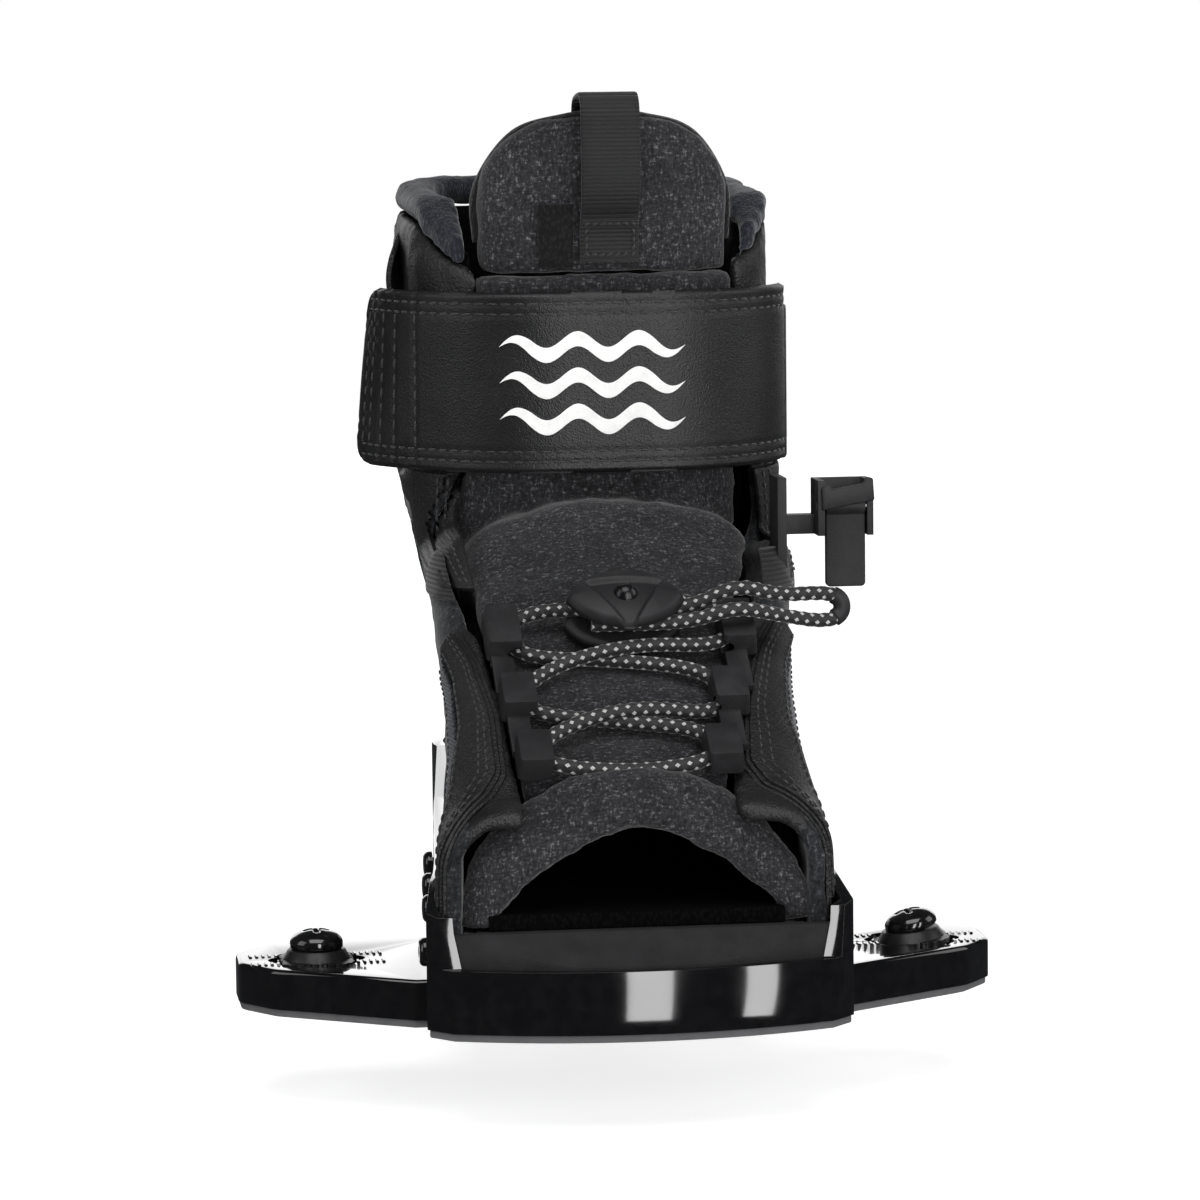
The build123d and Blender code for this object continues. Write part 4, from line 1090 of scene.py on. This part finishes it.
# the facing's inner and outer edge: distance along the foot, angle from straight up
FACING = {
    "left": ([(-46, 55), (-42, 47), (-37, 41), (-30, 37.5), (-11, 38.5), (8, 42), (22, 47)],
             [(-46, 76), (-38, 66), (-30, 56), (-11, 51), (8, 52), (22, 56)]),
    "right": ([(-46, 53), (-42, 44), (-37, 38), (-30, 34), (-11, 36.5), (8, 40), (22, 45)],
              [(-46, 76), (-38, 66), (-30, 56), (-11, 51), (8, 52), (22, 56)]),
}


def make_facing(name):
    """Three stacked layers of the facing, with double rows of stitches and a tape beside it."""
    side = SIDE[name]
    inner, outer = FACING[name]
    for layer, (lift, inset) in enumerate(((0.9, 0.0), (1.8, 1.6), (2.8, 3.0))):
        rows = []
        for k in range(56):
            y = -46 + inset * 0.8 + (68 - inset * 0.8) * k / 55
            a0, a1 = table(inner, y) + inset * 0.5, table(outer, y) - inset * 0.4
            rows.append([facing_point(side, a0 + (a1 - a0) * j / 12, y * MM, lift * MM) for j in range(13)])
        replaced = (f"overlay_{name}",) if layer == 2 else ()
        patch(f"facing_{name}_{layer}", rows, 0.95 * MM, HIDE, "binding", "leather", *replaced)
    for share in (0.16, 0.30, 0.88):
        line = []
        for k in range(60):
            y = -42.5 + 63 * k / 59
            a0, a1 = table(inner, y) + 1.5, table(outer, y) - 1.2
            line.append(facing_point(side, a0 + (a1 - a0) * share, y * MM, 2.85 * MM))
        stitch(("binding", "leather"), line, 0.0029, 0.0021, 0.00028)
    rows = []
    for k in range(50):
        y = -40 + 66 * k / 49
        rows.append([
            facing_point(side, table(outer, y) + 1.5 + j * 1.6, y * MM, 0.75 * MM) for j in range(5)
        ])
    patch(f"side_tape_{name}", rows, 0.6 * MM, STRIPE, "binding", "textile")
    for offset in (2.2, 7.0):
        line = [facing_point(side, table(outer, y) + offset, y * MM, 0.9 * MM) for y in
                [-39 + 64 * k / 59 for k in range(60)]]
        stitch(("binding", "leather"), line, 0.0026, 0.0019, 0.00024)


def make_cuff_flap(name):
    """Leather flap at the cuff's front corner, with stitches; its frayed lower edge is not built."""
    side = SIDE[name]
    throat = -27.5 * MM if side < 0 else 44.5 * MM
    rows = []
    for k in range(28):
        z = (100 + 27 * k / 27) * MM
        row = []
        for j in range(16):
            x = throat + side * (0.3 + (table([(100, 6), (113, 15), (127, 19)], z / MM)) * j / 15) * MM
            hit = from_front(x, z, 1.5 * MM)
            row.append(hit if hit else (row[-1] + Vector((0, 2.5 * MM, 0)) if row else Vector((x, 0.05, z))))
        rows.append(row)
    patch(f"cuff_corner_{name}", rows, 1.3 * MM, HIDE, "binding", "leather", f"cuff_flap_{name}")
    for inset in (2, 4):
        stitch(("binding", "leather"), [row[inset] + Vector((0, -0.3 * MM, 0)) for row in rows[2:-2]],
               0.0029, 0.0021, 0.00028)


def make_gusset(name):
    piece = softened(f"gusset_tape_{name}", f"gusset_{name}", 0.7 * MM, 2)
    dress(piece, TAPE, "binding", "webbing", f"gusset_{name}")


# ---------------------------------------------------------------- strap
SHAFT_AT = (7.5, 124.0)
STRAP_REACH = (52.7, 60.7, 41.7)       # half width, half depth and corner radius at mid thickness
STRAP_LOW, STRAP_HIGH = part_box("strap")[0].z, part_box("strap")[1].z


def strap_path():
    """Plan line of the strap, from its free left end round the shin to its sewn right end."""
    half_x, half_y, corner = STRAP_REACH
    left, right = SHAFT_AT[0] - half_x + corner, SHAFT_AT[0] + half_x - corner
    back = SHAFT_AT[1] - half_y + corner
    points = [Vector((left - corner, back + 3, 0))]
    points += [Vector((left - corner * math.cos(a), back - corner * math.sin(a), 0)) for a in
               [math.radians(90 * k / 30) for k in range(31)]]
    last = math.asin((back - 92.0) / corner)
    points += [Vector((right + corner * math.sin(a), back - corner * math.cos(a), 0)) for a in
               [(math.pi / 2 - last) * k / 30 for k in range(31)]]
    return even_line([p * MM for p in points], 181)


STRAP_LINE = strap_path()
STRAP_COLUMNS = (3.2, 6.6, 11.5, 17.0, 25.0)     # stitched lines across the free end, from its tip
STRAP_ROWS = (3.0, 5.7)                          # stitched lines along both edges


def strap_point(share, height, depth):
    """share along the strap from its free end, height 0 to 1, depth outwards from mid thickness."""
    k = min(int(share * 180), 179)
    a, b = STRAP_LINE[k], STRAP_LINE[k + 1]
    p = a.lerp(b, share * 180 - k)
    way = (b - a).normalized()
    out = Vector((way.y, -way.x, 0))
    if out.dot(p - Vector((SHAFT_AT[0] * MM, SHAFT_AT[1] * MM, 0))) < 0:
        out = -out
    free = max(0.0, 1 - share / 0.24)
    flare = free ** 1.7 * (4.5 + 4.5 * (1 - height)) * MM
    z = STRAP_LOW + (STRAP_HIGH - STRAP_LOW) * height
    return Vector((p.x, p.y, z)) + out * (depth + flare)


def pinch(distance, width=0.9):
    return math.exp(-(distance / width) ** 2)


def make_strap():
    length = line_length(STRAP_LINE) / MM
    tall = (STRAP_HIGH - STRAP_LOW) / MM
    columns, steps = 241, 64
    rows = []
    for c in range(columns):
        share = c / (columns - 1)
        along = share * length
        end = max(0.0, 6.0 - along)
        cut = 6.0 - math.sqrt(max(0.0, 36.0 - end ** 2))
        low, high = cut / tall, 1 - cut / tall
        column = sum(pinch(along - x) for x in STRAP_COLUMNS)
        ring = []
        for face in (1, -1):
            for s in range(steps):
                t = s / (steps - 1) if face > 0 else 1 - s / (steps - 1)
                t = low + (high - low) * t
                edge = min(t - low, high - t) * tall
                round_off = 1 - math.sqrt(max(0.0, 1 - max(0.0, 1 - edge / 1.0) ** 2))
                seam = sum(pinch(edge - r, 0.8) for r in STRAP_ROWS)
                depth = 1.5 * (1 - round_off) - (0.22 * min(1.2, seam + column) if face > 0 else 0)
                depth += 0.12 * noise.noise(Vector((along / 14, t * 3, 0))) if face > 0 else 0
                ring.append(strap_point(share, t, face * depth * MM))
        rows.append(ring)
    count = 2 * steps
    verts = [p for ring in rows for p in ring]
    faces = grid_faces(columns, count, wrap=True)
    faces += [tuple(range(count)), tuple(reversed(range(len(verts) - count, len(verts))))]
    piece = outward(new_piece("shin_strap", verts, faces, STRAP_HIDE))
    hang(piece, "strap", "strap_hide", "strap")
    for r in STRAP_ROWS:
        for height in (r / tall, 1 - r / tall):
            line = [strap_point(s, height, 1.42 * MM) for s in [0.03 + 0.95 * k / 200 for k in range(201)]]
            stitch(("strap", "strap_hide"), line, 0.0037, 0.0027, 0.00034)
    for x in STRAP_COLUMNS:
        line = [strap_point(x / length, 0.16 + 0.68 * k / 30, 1.42 * MM) for k in range(31)]
        stitch(("strap", "strap_hide"), line, 0.0037, 0.0027, 0.00034)


def make_strap_mark():
    """A plain mark of three long waves, printed on the strap."""
    for number, height in enumerate((0.70, 0.50, 0.30)):
        rows = []
        for k in range(121):
            share = 0.36 + 0.34 * k / 120
            wave = 0.045 * math.sin(2 * math.pi * 3 * k / 120)
            thick = 0.045 * min(1.0, 6 * k / 120, 6 * (120 - k) / 120)
            rows.append([
                strap_point(share, height + wave + thick * (2 * j / 4 - 1), 1.72 * MM) for j in range(5)
            ])
        patch(f"strap_wave_{number}", rows, 0.22 * MM, PRINT, "strap", "strap_hide")


def make_patches():
    for node in ("hook_patch", "loop_patch"):
        paint_node(node, FUZZ)
    piece = softened("strap_anchor_pad", "strap_anchor", 1.0 * MM, 4)
    dress(piece, HIDE, "binding", "leather", "strap_anchor")


# ---------------------------------------------------------------- pull loop and label
def make_pull_loop():
    """Ribbed webbing sewn to the tongue, standing off it and over its top."""
    low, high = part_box("pull_loop")
    front, back, base, top = low.y, high.y, low.z, high.z
    middle, half = (low.x + high.x) / 2, (high.x - low.x) / 2
    t = 0.8 * MM
    line = smooth_line([
        (0, front + 5.1 * MM, base), (0, front + 5.1 * MM, base + 9 * MM),
        (0, front + 2.0 * MM, base + 15 * MM),
        (0, front + t, base + 21 * MM), (0, front + t, top - 10 * MM), (0, front + 1.2 * MM, top - 4 * MM),
        (0, front + 4.5 * MM, top - t), (0, (front + back) / 2, top - t), (0, back - 3 * MM, top - 2.4 * MM),
        (0, back - t, top - 6 * MM), (0, back - t, top - 14 * MM), (0, back - 2.6 * MM, top - 22 * MM),
        (0, back - 3.1 * MM, top - 29 * MM),
    ], 520)
    pitch = 1.1 * MM
    total = line_length(line)
    verts = []
    for k, p in enumerate(line):
        way = (line[min(k + 1, 519)] - line[max(k - 1, 0)]).normalized()
        out = Vector((0, -way.z, way.y))
        rib = 0.22 * MM * abs(math.sin(math.pi * total * k / 519 / pitch))
        for x, deep in ((-half, 0.6), (-half + 0.5 * MM, 1), (-half / 2, 1), (0, 1), (half / 2, 1),
                        (half - 0.5 * MM, 1), (half, 0.6)):
            verts.append(p + Vector((middle + x, 0, 0)) + out * (0.5 * MM * deep + rib))
        for x, deep in ((half, 0.6), (half - 0.5 * MM, 1), (half / 2, 1), (0, 1), (-half / 2, 1),
                        (-half + 0.5 * MM, 1),
                        (-half, 0.6)):
            verts.append(p + Vector((middle + x, 0, 0)) - out * (0.5 * MM * deep + rib))
    faces = grid_faces(520, 14, wrap=True)
    faces += [tuple(range(14)), tuple(reversed(range(len(verts) - 14, len(verts))))]
    piece = outward(new_piece("tongue_pull_tab", verts, faces, TAPE))
    hang(piece, "tongue_top", "webbing", "pull_loop")
    y = front + 3.9 * MM
    box_line = [
        (-half + 1.5 * MM, base + 2 * MM), (half - 1.5 * MM, base + 2 * MM), (half - 1.5 * MM, base + 10 * MM),
        (-half + 1.5 * MM, base + 10 * MM), (-half + 1.5 * MM, base + 2 * MM),
    ]
    stitch(("tongue_top", "webbing"), [Vector((middle + x, y, z)) for x, z in box_line],
           0.002, 0.0015, 0.0003)


def make_label():
    """A small blank woven tag."""
    low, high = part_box("tongue_label")
    rows = []
    for k in range(24):
        z = low.z + (high.z - low.z + 4 * MM) * k / 23
        row = []
        for j in range(12):
            x = low.x + (high.x - low.x) * j / 11
            y = 130.5 * MM - math.sqrt((63.2 * MM) ** 2 - (x - 9 * MM) ** 2) - 0.25 * MM * math.sin(k / 3.4)
            row.append(Vector((x, y, z)))
        rows.append(row)
    patch("tongue_tag", rows, 0.55 * MM, BINDING_TAPE, "tongue_top", "leather", "tongue_label")
    stitch(("tongue_top", "webbing"), [p + Vector((0, -0.3 * MM, 0)) for p in rows[2]],
           0.0018, 0.0013, 0.00025)


# ---------------------------------------------------------------- laces, guides and lock
LACE_R = 1.9 * MM
LOCK_AT = Vector((4.06, 11.67, 92.08)) * MM
LOCK_OUT = Vector((0, -0.5496, 0.8354))
LOCK_UP = Vector((0, 0.8354, 0.5496))


def lock_point(u, v, height=6.4):
    return LOCK_AT + (Vector((u, 0, 0)) + LOCK_UP * v + LOCK_OUT * height) * MM


HOOKS = {
    "left": [(28.6, 20.0, 4.0), (25.8, -4.0, -15.5), (22.8, -24.0, -35.0)],
    "right": [(28.2, 20.0, 4.0), (24.5, -4.0, -15.5), (21.0, -24.0, -35.0)],
}


def lace_at(dx, y, lift):
    return over_skin(dx * MM, y * MM, 0) + Vector((0, 0, lift * MM))


def hook_points(name, k, downhill):
    side = SIDE[name]
    x, back, front = HOOKS[name][k]
    pair = [lace_at(side * (x - 1.2), back, 4.9), lace_at(side * (x + 1.0), front, 4.6)]
    return pair if downhill else pair[::-1]


def laced_route():
    return [
        lock_point(-6.0, 0.5),
        *hook_points("left", 0, True), lace_at(0.0, 0.5, 2.6),
        *hook_points("right", 1, True), lace_at(0.0, -19.5, 7.0),
        *hook_points("left", 2, True), lace_at(0.5, -37.0, 3.4),
        *hook_points("right", 2, False), lace_at(0.0, -19.5, 2.8),
        *hook_points("left", 1, False), lace_at(0.0, 0.5, 7.0),
        *hook_points("right", 0, False), lock_point(7.0, 4.4),
    ]


def braided(name, points, radius):
    """A round braid along a line; its yarns stand proud where the pale flecks are."""
    total = line_length(points)
    steps = int(total / (0.42 * MM))
    line = even_line(points, steps)
    around = 24
    verts = []
    for k, (p, (_, side, up)) in enumerate(zip(line, frames_along(line))):
        along = total * k / (steps - 1)
        for j in range(around):
            turn = j / around
            row = math.floor(turn * FLECK_ROWS)
            phase = (along / FLECK_PITCH + 0.5 * row) % 1.0
            across = abs((turn * FLECK_ROWS) % 1.0 - 0.5)
            bulge = max(0.0, math.cos(math.pi * across)) * (0.5 + 0.5 * math.cos(2 * math.pi * (phase - 0.5)))
            r = radius * (0.90 + 0.12 * bulge)
            a = 2 * math.pi * turn
            verts.append(p + side * r * math.cos(a) + up * r * math.sin(a))
    faces = grid_faces(steps, around, wrap=True)
    faces += [tuple(reversed(range(around))), tuple(range(len(verts) - around, len(verts)))]
    piece = new_piece(name, verts, faces, LACE)
    layer = piece.data.uv_layers.new(name="braid")
    for face in piece.data.polygons:
        wraps = max(piece.data.loops[i].vertex_index % around for i in face.loop_indices) == around - 1
        for i in face.loop_indices:
            v = piece.data.loops[i].vertex_index
            turn = (v % around) / around
            if wraps and v % around == 0:
                turn = 1.0
            layer.data[i].uv = (total * (v // around) / (steps - 1), turn)
    return piece


def nurbs_line(points):
    """The smooth line that a route's points pull into shape."""
    data = bpy.data.curves.new("route", "CURVE")
    data.dimensions = "3D"
    data.resolution_u = 16
    spline = data.splines.new("NURBS")
    spline.points.add(len(points) - 1)
    for point, place in zip(spline.points, points):
        point.co = (*place, 1)
    spline.order_u = 3
    spline.use_endpoint_u = True
    route = bpy.data.objects.new("route", data)
    bpy.context.scene.collection.objects.link(route)
    view = bpy.context.evaluated_depsgraph_get()
    mesh = bpy.data.meshes.new_from_object(route.evaluated_get(view))
    line = [v.co.copy() for v in mesh.vertices]
    bpy.data.objects.remove(route)
    return line


TAIL_FREE = [
    (32.5, 6.5, 103.6), (43.5, 8.5, 100.2), (56.5, 11.6, 100.4), (60.7, 12.0, 98.6), (60.7, 11.6, 94.6),
    (56.0, 10.6, 92.8), (43.5, 6.5, 95.4), (32.0, 2.0, 98.4),
]


def tail_route():
    free = [Vector(p) * MM for p in TAIL_FREE]
    return [lock_point(8.0, 0.0), lock_point(17.5, 0.4), *free, lock_point(17.0, -5.0), lock_point(3.0, -5.6),
            lock_point(-9.0, -5.3)]


def make_laces():
    line = nurbs_line(laced_route())
    piece = braided("laced_run", line, LACE_R)
    hang(piece, "binding", "lace", "laces")
    path = nurbs_line(tail_route())
    tail = braided("spare_lace_loop", path, LACE_R)
    hang(tail, "binding", "lace", "lace_tail")
    sleeve = [p for p in path if p.x > 58.4 * MM]
    piece = swept("lace_end_sleeve", even_line(sleeve, 24), round_section(2.25 * MM, 16), MOULDED)
    hang(piece, "binding", "lace")
    tuple(path[0])
    line_length(path)
    [tuple(p) for p in path]


def make_guides():
    for name in SIDE:
        bevelled(f"guide_blocks_{name}", f"lace_guide_{name}", 0.7 * MM, MOULDED, "binding", "moulded")


def oval_reach(angle, width, height):
    """Distance from the middle to the edge of a pointed oval, made of two arcs."""
    half, rise = width / 2, height / 2
    radius = (half ** 2 + rise ** 2) / (2 * rise)
    drop = radius - rise
    s = abs(math.sin(angle))
    return -drop * s + math.sqrt(max(0.0, radius ** 2 - drop ** 2 * (1 - s ** 2)))


def lock_solid(name, width, height, low, profile, recess, finish):
    """A pointed-oval solid; profile gives its top's height over its share of the way to the edge."""
    around, rings = 96, 28
    verts = [lock_point(0, 0, profile(0.0) + recess(0, 0))]
    for r in range(1, rings + 1):
        share = r / rings
        for k in range(around):
            a = 2 * math.pi * k / around
            reach = oval_reach(a, width, height) * share
            u, v = reach * math.cos(a), reach * math.sin(a)
            verts.append(lock_point(u, v, profile(share) + recess(u, v)))
    for share in (0.985, 0.0):
        for k in range(around):
            a = 2 * math.pi * k / around
            reach = oval_reach(a, width, height) * share
            verts.append(lock_point(reach * math.cos(a), reach * math.sin(a), low))
    faces = [(0, 1 + k, 1 + (k + 1) % around) for k in range(around)]
    for r in range(rings + 1):
        a, b = 1 + r * around, 1 + (r + 1) * around
        faces += [(a + k, b + k, b + (k + 1) % around, a + (k + 1) % around) for k in range(around)]
    piece = outward(new_piece(name, verts, faces, finish))
    return piece


def make_lock():
    def dished(u, v):
        """A three-cornered hollow round the button."""
        far = max(v - 4.6, -0.5 * v + 0.86 * u - 6.2, -0.5 * v - 0.86 * u - 6.2)
        deep = min(1.0, max(0.0, 0.6 - far))
        return -1.5 * deep * deep * (3 - 2 * deep)

    def top(share):
        return 13.8 - 2.2 * share ** 2.6 - 2.2 * max(0.0, share - 0.92) / 0.08 * (share > 0.92)

    def facets(u, v):
        return -1.1 * max(0.0, abs(u) / 15 + abs(v) / 14 - 0.55)

    upper = lock_solid("lock_top", 30.5, 21.0, 9.3, top, dished, MOULDED)
    hang(upper, "binding", "moulded", "lock_upper_shell")
    lower = lock_solid("lock_base", 30.5, 21.0, 0.1, lambda share: 3.9 - 0.8 * max(0.0, share - 0.9) / 0.1,
                       facets, MOULDED)
    hang(lower, "binding", "moulded", "lock_lower_shell")
    count = 40
    profile = [
        (3.4 * math.sin(a), 10.6 + 3.9 * math.cos(a)) for a in [math.radians(90 * k / 14) for k in range(15)]
    ]
    verts = [lock_point(0, 0, profile[0][1])]
    for radius, height in profile[1:] + [(3.4, 8.3)]:
        verts += [
            lock_point(radius * math.cos(2 * math.pi * k / count), radius * math.sin(2 * math.pi * k / count), height)
            for k in range(count)
        ]
    rings = len(profile)
    faces = [(0, 1 + k, 1 + (k + 1) % count) for k in range(count)]
    for r in range(rings - 1):
        a, b = 1 + r * count, 1 + (r + 1) * count
        faces += [(a + k, b + k, b + (k + 1) % count, a + (k + 1) % count) for k in range(count)]
    faces.append(tuple(range(len(verts) - count, len(verts))))
    button = outward(new_piece("lock_push_button", verts, faces, BUTTON))
    hang(button, "button", "button", "lock_button")


SIDE_FILL = {-1: 5.0 * MM, 1: 7.0 * MM}          # how far each side of the ankle stands out past the CAD
FILL_Z, FILL_HEIGHT = 106 * MM, 27 * MM          # where the filling is thickest, and how fast it thins
FILL_Y, FILL_LENGTH = 52 * MM, 48 * MM
FILL_START, FILL_RAMP = 22 * MM, 15 * MM         # it starts this far from the centre line


def fill_out(pieces):
    """Push the ankle's sides out between laces and strap, with all that is sewn on them."""
    for piece in pieces:
        for vertex in piece.data.vertices:
            x, y, z = vertex.co
            off = x - centre_x(y, z)
            side = 1 if off > 0 else -1
            share = min(1.0, max(0.0, (abs(off) - FILL_START) / FILL_RAMP))
            height = math.exp(-((z - FILL_Z) / FILL_HEIGHT) ** 2)
            along = math.exp(-((y - FILL_Y) / FILL_LENGTH) ** 2)
            vertex.co.x += side * SIDE_FILL[side] * share * share * (3 - 2 * share) * height * along


def make_clip():
    """The side keeper: its frame, the swinging door and the fixed lip above the door."""
    bevelled("clip_frame", "clip_bracket", 0.5 * MM, MOULDED, "binding", "moulded")
    bevelled("clip_door", "clip_gate", 0.6 * MM, MOULDED, "gate", "moulded")
    paint_node("clip_rivets", WASHER_PAINT)
    frame_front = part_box("clip_bracket")[0].y
    front, back = frame_front - 0.9 * MM, frame_front + 0.3 * MM
    outline = [
        (60.4, 118.6), (74.2, 121.2), (73.8, 126.9), (72.0, 127.4),
        (71.2, 125.6), (63.0, 124.2), (62.2, 125.4), (60.2, 124.6),
    ]
    verts = [(x * MM, y, z * MM) for y in (front, back) for x, z in outline]
    count = len(outline)
    faces = [tuple(range(count)), tuple(reversed(range(count, 2 * count)))]
    faces += [(k, k + count, (k + 1) % count + count, (k + 1) % count) for k in range(count)]
    face = new_piece("clip_face", verts, faces, MOULDED)
    modify(face, "BEVEL", width=0.35 * MM, segments=2)
    settle(face)
    outward(face)
    hang(face, "binding", "moulded")


def make_floor():
    size = 2.0
    floor = new_piece("floor", [(-size, -size, FLOOR_Z), (size, -size, FLOOR_Z), (size, size, FLOOR_Z),
                                (-size, size, FLOOR_Z)], [(0, 1, 2, 3)], None)
    paint = Finish("pale_floor", (0.80, 0.80, 0.80), 0.9)
    paint.set("Emission Color", (1, 1, 1, 1))
    paint.set("Emission Strength", 0.72)
    paint.relief(paint.noise(40, 2), 0.0002, 0.1)
    floor.data.materials.append(paint.made)
    floor.visible_glossy = False


place_camera()
light_studio()
make_floor()
make_laces()
make_chassis()
make_grip_ribs(rib_tree())
for hand in SIDE:
    make_screw(hand)
    make_washer(hand)
    make_quarter(hand)
    make_collar(hand)
    make_facing(hand)
    make_cuff_flap(hand)
    make_gusset(hand)
make_fold()
make_heel_panel()
make_liner()
make_toe_roll()
make_tongue_lower(nurbs_line(laced_route()))
make_tongue_top()
make_pull_loop()
make_label()
make_strap()
make_strap_mark()
make_patches()
make_guides()
make_lock()
make_clip()
sew(stitch_tree(), THREAD)
PUSHED = (
    "upper_side", "facing", "side_tape", "cuff_corner", "gusset_tape", "stitches_binding", "heel_counter",
)
fill_out([piece for piece in bpy.data.objects if piece.name.startswith(PUSHED)])
